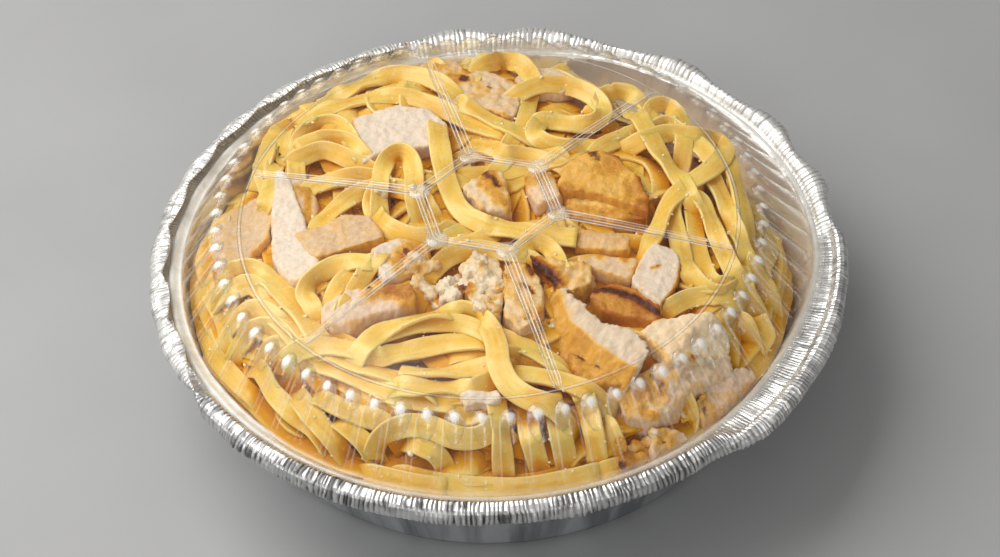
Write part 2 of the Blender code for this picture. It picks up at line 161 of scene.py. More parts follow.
def wave_noise(values, octaves, seed, period=None):
    """Smooth 1-D noise in -1..1, periodic when a period is given."""
    rnd = np.random.default_rng(seed)
    out = np.zeros_like(values, float)
    total = 0.0
    for k, count in enumerate(octaves):
        amp = 1.0 / (k + 1.0)
        for _ in range(3):
            if period:
                n = max(1, int(round(count * rnd.uniform(0.75, 1.25))))
                out += amp * np.sin(2 * math.pi * n * values / period + rnd.uniform(0, 6.28))
            else:
                out += amp * np.sin(count * rnd.uniform(0.75, 1.25) * values + rnd.uniform(0, 6.28))
            total += amp
    return out / (total * 0.6)


# ------------------------------------------------------------------ materials
class Nodes:
    """Short hand for building a node tree."""

    def __init__(self, name):
        self.mat = bpy.data.materials.new(name)
        self.mat.use_nodes = True
        self.tree = self.mat.node_tree
        for n in list(self.tree.nodes):
            self.tree.nodes.remove(n)
        self.out = self.tree.nodes.new("ShaderNodeOutputMaterial")
        self.coord = self.tree.nodes.new("ShaderNodeTexCoord")

    def add(self, kind, **props):
        n = self.tree.nodes.new("ShaderNode" + kind)
        for k, v in props.items():
            setattr(n, k, v)
        return n

    def link(self, a, b):
        self.tree.links.new(a, b)

    def mapping(self, scale=(1, 1, 1), rotation=(0, 0, 0)):
        m = self.add("Mapping")
        m.inputs["Scale"].default_value = scale
        m.inputs["Rotation"].default_value = rotation
        self.link(self.coord.outputs["Object"], m.inputs["Vector"])
        return m.outputs["Vector"]

    def noise(self, scale, detail=3.0, rough=0.55, vector=None, distortion=0.0):
        n = self.add("TexNoise")
        n.inputs["Scale"].default_value = scale
        n.inputs["Detail"].default_value = detail
        n.inputs["Roughness"].default_value = rough
        n.inputs["Distortion"].default_value = distortion
        self.link(vector if vector is not None else self.coord.outputs["Object"], n.inputs["Vector"])
        return n.outputs["Fac"]

    def attr(self, name, color=False):
        a = self.add("Attribute", attribute_type="GEOMETRY", attribute_name=name)
        return a.outputs["Color" if color else "Fac"]

    def span(self, value, lo, hi, a=0.0, b=1.0):
        m = self.add("MapRange")
        m.inputs["From Min"].default_value = lo
        m.inputs["From Max"].default_value = hi
        m.inputs["To Min"].default_value = a
        m.inputs["To Max"].default_value = b
        self.link(value, m.inputs["Value"])
        return m.outputs["Result"]

    def math(self, op, a, b=None):
        m = self.add("Math", operation=op)
        for k, v in enumerate((a, b)):
            if v is None:
                continue
            if isinstance(v, (int, float)):
                m.inputs[k].default_value = v
            else:
                self.link(v, m.inputs[k])
        return m.outputs[0]

    def mix(self, fac, a, b, blend="MIX"):
        m = self.add("Mix", data_type="RGBA", blend_type=blend)
        for idx, v in ((0, fac), (6, a), (7, b)):
            if isinstance(v, (int, float)):
                m.inputs[idx].default_value = v
            elif isinstance(v, tuple):
                m.inputs[idx].default_value = (*v[:3], 1.0)
            else:
                self.link(v, m.inputs[idx])
        return m.outputs[2]

    def bump(self, height, strength, distance_mm, normal=None):
        b = self.add("Bump")
        b.inputs["Strength"].default_value = strength
        b.inputs["Distance"].default_value = distance_mm * MM
        self.link(height, b.inputs["Height"])
        if normal is not None:
            self.link(normal, b.inputs["Normal"])
        return b.outputs["Normal"]

    def principled(self, **values):
        p = self.add("BsdfPrincipled")
        for k, v in values.items():
            socket = p.inputs[k.replace("_", " ")]
            if isinstance(v, bpy.types.NodeSocket):
                self.link(v, socket)
            elif isinstance(v, tuple) and len(v) == 3 and len(socket.default_value) == 4:
                socket.default_value = (*v, 1.0)
            else:
                socket.default_value = v
        return p


def pasta_material(name, deep=False):
    m = Nodes(name)
    big = m.noise(70.0, 3.0)
    mid = m.noise(330.0, 4.0, 0.6)
    fine = m.noise(1500.0, 3.0, 0.6)
    tint = m.attr("tint")
    lane = m.add("Attribute", attribute_type="GEOMETRY", attribute_name="lane").outputs["Vector"]
    streak = m.noise(640.0, 4.0, 0.6, lane)
    edge = m.attr("edge")
    cream = lin(247, 211, 98)
    yellow = lin(240, 186, 60)
    gold = lin(210, 136, 3)
    brown = lin(182, 110, 5)
    c = m.mix(m.span(big, 0.36, 0.64), yellow, cream)
    c = m.mix(m.span(tint, 0.0, 1.0, 0.0, 0.7), c, lin(246, 202, 84))
    # paler and darker streaks along the strand, and a painted highlight along the strand's edges
    c = m.mix(m.span(streak, 0.5, 0.72, 0.0, 0.5), c, lin(251, 228, 146))
    c = m.mix(m.span(streak, 0.5, 0.28, 0.0, 0.4), c, lin(220, 156, 38))
    c = m.mix(m.math("MULTIPLY", edge, 0.36), c, lin(253, 238, 184))
    c = m.mix(m.span(mid, 0.52, 0.72, 0.0, 0.24), c, lin(252, 236, 180))
    # painted shade: points lying low in the heap get darker golden and brown colour and less sheen
    hollow_shade = m.attr("deep")
    c = m.mix(m.span(hollow_shade, 0.04, 0.36, 0.0, 0.9), c, lin(225, 160, 8))
    c = m.mix(m.span(hollow_shade, 0.3, 0.72), c, gold)
    c = m.mix(m.span(hollow_shade, 0.65, 1.0, 0.0, 0.8), c, brown)
    # grains of cheese and cream that cling to the strands
    grain = m.noise(820.0, 2.0, 0.5)
    speck = m.span(grain, 0.66, 0.72)
    c = m.mix(m.math("MULTIPLY", speck, 0.7), c, lin(252, 242, 214))
    rough = m.span(mid, 0.3, 0.7, 0.22, 0.40)
    wet = m.span(hollow_shade, 0.0, 0.35, 1.0, 0.12)
    n0 = m.bump(big, 0.35, 1.0)
    n1 = m.bump(streak, 0.5, 0.3, n0)
    n2 = m.bump(mid, 0.4, 0.3, n1)
    n3 = m.bump(fine, 0.25, 0.08, n2)
    n4 = m.bump(speck, 0.5, 0.25, n3)
    p = m.principled(Base_Color=c, Roughness=rough, Normal=n4, Subsurface_Weight=0.3,
                     Subsurface_Radius=(1.0, 0.6, 0.2), Subsurface_Scale=0.0018, IOR=1.42,
                     Specular_IOR_Level=m.math("MULTIPLY", wet, 0.45), Coat_Weight=m.math("MULTIPLY", wet, 0.3))
    p.inputs["Coat Roughness"].default_value = 0.14
    m.link(p.outputs[0], m.out.inputs["Surface"])
    return m.mat


def sauce_material():
    m = Nodes("cream_sauce")
    big = m.noise(60.0, 4.0)
    mid = m.noise(420.0, 4.0, 0.65)
    fine = m.noise(2200.0, 3.0, 0.6)
    c = m.mix(m.span(big, 0.38, 0.62), lin(216, 156, 36), lin(232, 184, 74))
    c = m.mix(m.span(mid, 0.5, 0.75, 0.0, 0.6), c, lin(244, 216, 140))
    n1 = m.bump(mid, 0.5, 0.8)
    n2 = m.bump(fine, 0.3, 0.12, n1)
    p = m.principled(Base_Color=c, Roughness=m.span(mid, 0.3, 0.7, 0.25, 0.42), Normal=n2, Subsurface_Weight=0.3,
                     Subsurface_Radius=(1.0, 0.6, 0.2), Subsurface_Scale=0.0022)
    m.link(p.outputs[0], m.out.inputs["Surface"])
    return m.mat


def meat_material(name="grilled_chicken"):
    m = Nodes(name)
    tint = m.attr("meat", color=True)
    brown = m.attr("brown")
    char = m.attr("char")
    broad = m.noise(110.0, 3.0)
    run = m.add("Attribute", attribute_type="GEOMETRY", attribute_name="grain").outputs["Vector"]
    fibre = m.noise(620.0, 5.0, 0.62, run, 0.4)
    grain = m.noise(1300.0, 4.0, 0.65)
    speck = m.noise(760.0, 2.0, 0.5)
    # cut face: pale flesh with faint fibres, pores and warmer patches
    c = m.mix(m.span(broad, 0.4, 0.66, 0.0, 0.22), tint, lin(236, 206, 172))
    c = m.mix(m.span(fibre, 0.5, 0.72, 0.0, 0.34), c, lin(252, 243, 224))
    c = m.mix(m.span(fibre, 0.48, 0.28, 0.0, 0.42), c, lin(206, 166, 122))
    c = m.mix(m.span(grain, 0.6, 0.8, 0.0, 0.16), c, lin(204, 168, 130))
    # grilled skin: gold to brown where the attribute says, broken up a little by noise
    soft = m.math("ADD", brown, m.span(grain, 0.3, 0.7, -0.09, 0.09))
    soft = m.math("ADD", soft, m.span(broad, 0.3, 0.7, -0.12, 0.12))
    soft = m.math("ADD", soft, m.span(fibre, 0.3, 0.7, 0.09, -0.09))
    c = m.mix(m.span(soft, 0.10, 0.55), c, lin(236, 180, 70))
    c = m.mix(m.span(soft, 0.48, 1.0), c, lin(180, 102, 12))
    burnt = m.math("ADD", char, m.span(fibre, 0.3, 0.7, -0.22, 0.22))
    burnt = m.math("MULTIPLY", m.math("ADD", burnt, m.span(speck, 0.3, 0.7, -0.2, 0.2)), m.span(char, 0.02, 0.2))
    c = m.mix(m.span(burnt, 0.2, 0.6, 0.0, 0.85), c, lin(120, 50, 12))
    c = m.mix(m.span(burnt, 0.55, 1.05, 0.0, 0.86), c, lin(52, 17, 6))
    n1 = m.bump(fibre, 0.8, 0.6)
    n2 = m.bump(grain, 0.5, 0.25, n1)
    rough = m.span(soft, 0.1, 0.9, 0.5, 0.34)
    p = m.principled(Base_Color=c, Roughness=rough, Normal=n2, Subsurface_Weight=0.25, Specular_IOR_Level=0.32,
                     Subsurface_Radius=(1.0, 0.5, 0.3), Subsurface_Scale=0.0025)
    m.link(p.outputs[0], m.out.inputs["Surface"])
    return m.mat


def foil_material():
    m = Nodes("aluminium_foil")
    run = m.add("Attribute", attribute_type="GEOMETRY", attribute_name="lane").outputs["Vector"]
    streak = m.noise(420.0, 3.0, 0.55, run)
    drawn = m.noise(110.0, 3.0, 0.5, run)
    broad = m.noise(60.0, 3.0)
    fine = m.noise(2600.0, 2.0, 0.5)
    c = m.mix(m.span(broad, 0.35, 0.65), lin(203, 203, 203), lin(225, 225, 225))
    # the pressed body is smooth; its inner face and the calm rim are painted paler and less metallic as painted light,
    # and the crimped rim carries painted shade in its folds and painted dark reflections on some pleats
    body = m.attr("body")
    wall = m.mix(m.span(drawn, 0.42, 0.6), lin(158, 160, 163), lin(230, 232, 235))
    wall = m.mix(m.span(streak, 0.55, 0.72, 0.0, 0.45), wall, lin(240, 241, 243))
    c = m.mix(body, c, wall)
    # painted light: the inner face and the calm rim are painted paler, and made less metallic below, so they read
    # brighter
    c = m.mix(m.attr("clean"), c, lin(246, 244, 240))
    # painted shade and painted dark reflections in the rim's folds
    c = m.mix(m.math("MULTIPLY", m.attr("fold"), 0.86), c, lin(66, 64, 63))
    n1 = m.bump(broad, 0.18, 0.5)
    n1 = m.bump(drawn, 0.6, 1.5, n1)
    n2 = m.bump(streak, 0.12, 0.15, n1)
    n3 = m.bump(fine, 0.10, 0.02, n2)
    rough = m.math("SUBTRACT", m.span(broad, 0.3, 0.7, 0.32, 0.40), m.math("MULTIPLY", body, 0.17))
    p = m.principled(Base_Color=c, Roughness=rough, Metallic=m.span(m.attr("clean"), 0.0, 1.0, 0.9, 0.5), Normal=n3)
    m.link(p.outputs[0], m.out.inputs["Surface"])
    return m.mat


def lid_material():
    m = Nodes("clear_plastic_film")
    ripple = m.noise(45.0, 2.0)
    normal = m.bump(ripple, 0.05, 0.5)
    # both skins of the film mirror alike: Schlick's curve on the angle to the surface
    facing = m.add("LayerWeight")
    facing.inputs["Blend"].default_value = 0.5
    m.link(normal, facing.inputs["Normal"])
    graze = m.math("POWER", facing.outputs["Facing"], 4.0)
    clear = m.add("BsdfTransparent")
    clear.inputs["Color"].default_value = (0.99, 0.99, 0.985, 1.0)
    gloss = m.add("BsdfGlossy")
    gloss.inputs["Roughness"].default_value = 0.2
    gloss.inputs["Color"].default_value = (1.0, 1.0, 1.0, 1.0)
    m.link(normal, gloss.inputs["Normal"])
    mirror = m.add("MixShader")
    # the drawn knobs at the shoulder are thicker and mirror more
    thick = m.math("ADD", m.math("MULTIPLY", m.attr("knob"), 0.05), 0.015)
    m.link(m.math("ADD", m.math("MULTIPLY", graze, m.span(m.attr("knob"), 0.0, 1.0, 0.8, 0.35)), thick), mirror.inputs[0])
    m.link(clear.outputs[0], mirror.inputs[1])
    m.link(gloss.outputs[0], mirror.inputs[2])
    # where the film is drawn round a bend it goes slightly milky; the same whitening is a painted highlight on the
    # knobs, ridges, corner domes and flute edges, and painted light on the left-hand rolled edge
    milk = m.principled(Base_Color=(0.96, 0.945, 0.89), Roughness=0.25, Normal=normal)
    cloud = m.noise(140.0, 3.0)
    mix = m.add("MixShader")
    amount = m.math("MULTIPLY", m.attr("bend"), m.span(cloud, 0.3, 0.7, 0.17, 0.33))
    m.link(m.math("ADD", amount, 0.002), mix.inputs[0])
    m.link(mirror.outputs[0], mix.inputs[1])
    m.link(milk.outputs[0], mix.inputs[2])
    m.link(mix.outputs[0], m.out.inputs["Surface"])
    return m.mat


# ------------------------------------------------------------------ thin sheets
def sheet_from_grid(mid, thick, close_centre, splits=()):
    """Closed thin shell from a middle surface.

    mid is a list of rings (arrays n x 3, n may change between rings); both skins are
    offset along the surface normal and joined at the rims.
    """
    def normals(k):
        ring = mid[k]
        n = len(ring)
        tang = np.roll(ring, -1, 0) - np.roll(ring, 1, 0)

        def resample(other):
            if len(other) == n:
                return other
            pos = np.arange(n) / n * len(other)
            i = pos.astype(int) % len(other)
            f = (pos - np.floor(pos))[:, None]
            return other[i] * (1 - f) + other[(i + 1) % len(other)] * f
        a = resample(mid[k - 1]) if k > 0 else ring
        b = resample(mid[k + 1]) if k < len(mid) - 1 else ring
        nn = np.cross(tang, b - a)
        return nn / np.maximum(np.linalg.norm(nn, axis=1), 1e-9)[:, None]

    verts, quads, tris = [], [], []
    count = 0
    rings = []
    for side in (1.0, -1.0):
        for k in range(len(mid)):
            verts.append(mid[k] + normals(k) * (side * thick / 2))
            rings.append(np.arange(count, count + len(mid[k])))
            count += len(mid[k])
    half = len(mid)

    def grid(a, b, flip):
        n = len(a)
        a2, b2 = np.roll(a, -1), np.roll(b, -1)
        if len(a) == len(b):
            q = np.stack([a, a2, b2, b], 1)
            quads.append(q[:, ::-1] if flip else q)
        else:
            out = []
            i = j = 0
            m, n = len(a), len(b)
            while i < m or j < n:
                if j >= n or (i < m and (i + 1) * n <= (j + 1) * m):
                    t = (a[i % m], a[(i + 1) % m], b[j % n])
                    i += 1
                else:
                    t = (b[(j + 1) % n], b[j % n], a[i % m])
                    j += 1
                out.append(t[::-1] if flip else t)
            tris.append(np.array(out))

    for k in range(half - 1):
        grid(rings[k], rings[k + 1], True)
        grid(rings[half + k], rings[half + k + 1], False)
    grid(rings[half - 1], rings[2 * half - 1], True)
    if close_centre:
        for top, ring, flip in ((1.0, rings[0], False), (-1.0, rings[half], True)):
            c = mid[0].mean(0) + np.array([0, 0, top * thick / 2 * close_centre])
            verts.append(c[None])
            idx = count
            count += 1
            t = np.stack([np.roll(ring, -1), ring, np.full(len(ring), idx)], 1)
            tris.append(t if not flip else t[:, ::-1])
    else:
        grid(rings[0], rings[half], False)
    return np.concatenate(verts), np.concatenate(quads), (np.concatenate(tris) if tris else np.zeros((0, 3), int))


# ------------------------------------------------------------------ foil pan
RIM_FRONT = ((104.8, 42.4), (105.9, 42.5), (106.8, 43.1), (107.5, 44.3), (108.2, 45.5), (109.2, 46.1), (110.6, 45.9),
             (111.9, 45.4), (112.8, 44.7), (113.4, 43.6), (113.8, 42.4), (113.7, 41.4), (113.1, 40.9))
RIM_RIGHT = ((104.8, 42.4), (106.0, 42.5), (107.4, 42.6), (108.9, 42.7), (110.4, 42.8), (111.8, 43.1), (112.8, 44.2),
             (113.7, 45.4), (115.0, 45.9), (116.6, 45.6), (117.9, 44.6), (118.6, 43.2), (118.2, 42.1))
RIM_REAR = ((104.8, 42.4), (106.6, 42.6), (107.8, 43.3), (109.2, 44.3), (110.8, 45.1), (112.3, 45.5), (113.8, 45.6),
            (115.2, 45.4), (116.5, 44.9), (117.6, 44.1), (118.5, 43.2), (119.0, 42.4), (118.6, 41.9))
RIM_LEFT = ((104.8, 42.4), (107.6, 42.4), (110.3, 42.5), (112.2, 43.1), (113.3, 44.1), (113.6, 45.2), (113.0, 46.2),
            (111.9, 46.9), (110.7, 47.4), (109.6, 47.7), (108.6, 47.8), (107.7, 47.8), (107.0, 47.6))
WAVES = (95.0, 79.0, 51.0, 29.0, 13.0)
RIM_COLS = 2700
BODY_COLS = 720


def ramp(deg, start, stop, soft):
    """1 between two headings (going up from start to stop), with soft ends."""
    span = (stop - start) % 360.0
    d = (deg - start) % 360.0
    d = np.where(d > span + (360.0 - span) / 2, d - 360.0, d)
    return smooth01((d + soft / 2) / soft) * smooth01((span - d + soft / 2) / soft)


def out_of_round(deg):
    """How much wider the pan's mouth stands at the rear right, where it is pulled out of round."""
    return 4.2 * smooth01((62.0 - np.abs(wrap_deg(deg - 30.0))) / 32.0)


def build_pan(mat):
    deg = np.arange(RIM_COLS) * 360.0 / RIM_COLS
    left = ramp(deg, 104.0, 212.0, 8.0)
    rear = ramp(deg, 2.0, 104.0, 8.0)
    right = ramp(deg, 310.0, 2.0, 10.0)
    front = ramp(deg, 212.0, 310.0, 10.0)
    total = left + rear + right + front
    keys = [np.array(p) for p in (RIM_LEFT, RIM_REAR, RIM_RIGHT, RIM_FRONT)]
    prof = sum(w[:, None, None] * k[None] for w, k in zip((left, rear, right, front), keys)) / total[:, None, None]
    stations = prof.shape[1]
    s = np.arange(stations) / (stations - 1.0)
    # the loose rim at the rear stands out in broad waves
    w = np.zeros_like(deg)
    for peak in WAVES:
        w = np.maximum(w, np.exp(-(wrap_deg(deg - peak) / 6.5) ** 2))
    pull = 1.0 - rear / total * (0.42 - 0.14 * ramp(deg, 350.0, 80.0, 20.0)) * (1.0 - w)
    prof[:, :, 0] = 105.5 + (prof[:, :, 0] - 105.5) * np.where(prof[:, :, 0] > 105.5, pull[:, None], 1.0)
    lift = rear / total * (w - 0.5) * 1.6
    prof[:, :, 1] += lift[:, None] * s[None] ** 1.5
    # the folded lip on the left has a scalloped inner edge, and its outline dips with it
    scal = np.abs(np.sin(np.radians(deg * 360.0 / 23.0)))
    lw = left / total
    tip = np.clip((s - 0.45) / 0.55, 0, 1)
    prof[:, :, 0] += (lw * (1.0 - scal) * 3.6)[:, None] * tip[None] ** 1.5
    prof[:, :, 1] += (lw * (scal - 0.5) * 0.9)[:, None] * tip[None]
    prof[:, :, 0] -= (lw * (1.0 - scal) * 1.3)[:, None] * smooth01(s * 3.0 - 0.6)[None]
    brim = prof[:, :, 0].max(axis=1, keepdims=True)
    prof[:, :, 0] += out_of_round(deg)[:, None] * np.clip((brim - prof[:, :, 0]) / (brim - FLANGE_R), 0.0, 1.0)
    # crimps: irregular pleats, each with its own depth, that lean and break at the crest
    rnd = np.random.default_rng(77)
    pitch = 0.60 + 0.18 * wave_noise(deg, (23, 61, 140), 5, 360.0) + 0.4 * rear / total + 0.16 * front / total
    phase = np.cumsum(360.0 / RIM_COLS / np.clip(pitch, 0.42, 2.0))
    phase *= round(phase[-1]) / phase[-1]
    teeth = int(round(phase[-1]))
    lean = 0.04 * wave_noise(deg, (31, 77), 9, 360.0)
    # below the crest the pleats fall out of step with those above
    pitch = 0.62 + 0.24 * wave_noise(deg, (29, 70, 155), 15, 360.0) + 0.3 * rear / total + 0.22 * front / total
    phase_low = np.cumsum(360.0 / RIM_COLS / np.clip(pitch, 0.40, 2.0))
    phase_low *= round(phase_low[-1]) / phase_low[-1]
    teeth_low = int(round(phase_low[-1]))

    def pleats(t, depths, bias):
        """A row of pleats: sharp valleys and ridges, uneven in depth and in where they peak."""
        n = np.floor(t).astype(int) % len(depths)
        f = t - np.floor(t)
        peak = bias[n]
        tri = np.where(f < peak, f / peak, (1 - f) / (1 - peak))
        d = depths[n] * (1 - smooth01((f - 0.75) / 0.25)) + depths[(n + 1) % len(depths)] * smooth01((f - 0.75) / 0.25)
        return (tri - 0.5) * 2.0 * d

    depth_a, depth_b = rnd.uniform(0.25, 1.25, teeth), rnd.uniform(0.25, 1.25, teeth_low)
    bias_a, bias_b = rnd.uniform(0.25, 0.75, teeth), rnd.uniform(0.25, 0.75, teeth_low)
    out = np.zeros((RIM_COLS, stations, 3))
    folds = []
    # a few pleats at random get painted dark reflections
    painted_dark_pleats = np.random.default_rng(78).uniform(0.0, 1.0, (2, 2 * teeth)) ** 2.5
    tooth, tooth_low = np.floor(phase).astype(int), np.floor(phase_low).astype(int)
    calm = np.clip((left + rear + 0.5 * right) / total, 0.0, 1.0)
    a = np.radians(deg)
    tangent = np.gradient(prof, axis=1)
    nrm = np.stack([-tangent[:, :, 1], tangent[:, :, 0]], 2)
    nrm /= np.maximum(np.linalg.norm(nrm, axis=2), 1e-6)[:, :, None]
    for k in range(stations):
        slow = wave_noise(deg + 0.8 * k, (19, 45), 40 + k // 3, 360.0)
        over = smooth01((k - 6.5) / 2.5)
        row = pleats(phase + lean * k, depth_a, bias_a) * (1.0 - over) + pleats(phase_low + lean * k, depth_b, bias_b) * over
        amp = (0.30 + 0.12 * over) * smooth01((k - 0.6) / 1.8) * (0.8 + 0.45 * slow) * (1.0 - 0.25 * rear / total)
        # crushed places, a few pleats wide, lie flatter than their neighbours and get less painted shade
        patch = smooth01(0.55 + (0.8 + 0.7 * (1.0 - calm)) * wave_noise(deg + 2.0 * k, (17, 41, 97), 90 + k // 4, 360.0))
        amp = amp * (calm + (1.0 - calm) * (0.55 + 0.65 * patch))
        bend = row * amp + 0.22 * slow * smooth01((k - 3) / 5.0)
        # painted shade in the pleat valleys and painted dark reflections on some pleats
        crease_shade = smooth01((0.2 - row) / 0.8) * (0.16 + 0.84 * patch)
        crease_shade = crease_shade + (0.8 * painted_dark_pleats[0][tooth] * (1.0 - over) + 0.9 * painted_dark_pleats[1][tooth_low] * over) * (0.25 + 0.75 * patch)
        # the smoother metal keeps only thin lines of painted shade in its valleys
        valley = smooth01((-0.30 - row) / 0.25)
        folds.append(np.maximum(np.clip(crease_shade, 0.0, 1.0) * (1.0 - 0.75 * calm), 0.62 * calm * valley) * smooth01((k - 0.6) / 1.8))
        r = prof[:, k, 0] + nrm[:, k, 0] * bend
        z = prof[:, k, 1] + nrm[:, k, 1] * bend
        turn = a + np.radians(0.14) * wave_noise(deg * 1.0, (90, 200), 60 + k // 2, 360.0) * smooth01((k - 2) / 3.0)
        out[:, k] = np.stack([r * np.cos(turn), r * np.sin(turn), z], 1)
    body_deg = np.arange(BODY_COLS) * 360.0 / BODY_COLS
    ba = np.radians(body_deg)
    rings = []

    def body_ring(r, z, wob):
        crease = wave_noise(body_deg, (70, 150, 230), 11, 360.0)
        rr = r + wob * crease + out_of_round(body_deg) * min(z / WALL_Z, 1.0) ** 1.6
        rings.append(np.stack([rr * np.cos(ba), rr * np.sin(ba), np.full(BODY_COLS, z)], 1))

    for r in (20.0, 45.0, 68.0, 84.0):
        body_ring(r, 0.25, 0.0)
    body_ring(87.2, 0.4, 0.02)
    body_ring(89.4, 1.0, 0.04)
    body_ring(90.9, 2.3, 0.06)
    body_ring(91.8, 4.4, 0.10)
    (r1, z1) = CORNER[1]
    for f in (0.06, 0.2, 0.35, 0.5, 0.65, 0.8, 0.93):
        body_ring(r1 + (WALL_R - r1) * f, z1 + (WALL_Z - z1) * f, 0.16 + 0.10 * f)
    body_ring(WALL_R, WALL_Z, 0.15)
    body_ring(104.2, FLANGE_Z - 0.2, 0.08)
    for k in range(stations):
        rings.append(out[:, k])
    verts, quads, tris = sheet_from_grid(rings, 0.22, 1.0)
    verts[:, 2] = np.maximum(verts[:, 2], 0.0)
    plain = len(rings) - stations
    # the rim's painted shade; none on the body
    fold = np.concatenate([np.zeros(plain * BODY_COLS)] + folds)
    smooth_part = [np.ones(plain * BODY_COLS), np.ones(RIM_COLS), 0.6 + 0.4 * lw] + [lw * w for w in (1.0, 0.6)]
    body = np.concatenate(smooth_part + [np.zeros(RIM_COLS)] * (stations - 4))
    # painted light: the inner face of the body and the calm rim, most at the left and rear, are marked to be painted
    # paler
    clean = np.concatenate([np.ones(plain * BODY_COLS), np.ones(RIM_COLS), 0.5 + 0.5 * lw] + [0.8 * calm] * (stations - 2))
    end = np.zeros(2)
    ob = mesh_object("pan", verts, quads, tris, mat,
                     floats={"fold": np.concatenate([fold, fold, end]), "body": np.concatenate([body, body, end + 1.0]),
                             "clean": np.concatenate([np.zeros(plain * BODY_COLS), clean[plain * BODY_COLS:], clean, end])})
    out_r = np.maximum(np.hypot(verts[:, 0], verts[:, 1]), 1.0)
    lane = np.column_stack([98.0 * verts[:, 0] / out_r, 98.0 * verts[:, 1] / out_r, verts[:, 2] * 0.1 + out_r * 0.02]) * MM
    ob.data.attributes.new("lane", "FLOAT_VECTOR", "POINT").data.foreach_set("vector", lane.astype(np.float32).ravel())
    tidy_normals(ob)
    # the crimped foil is creased, not rounded: its facets stay flat
    for poly in ob.data.polygons:
        c = poly.center
        poly.use_smooth = math.hypot(c[0], c[1]) < 106.4 * MM or c[2] < 38.0 * MM
    return ob


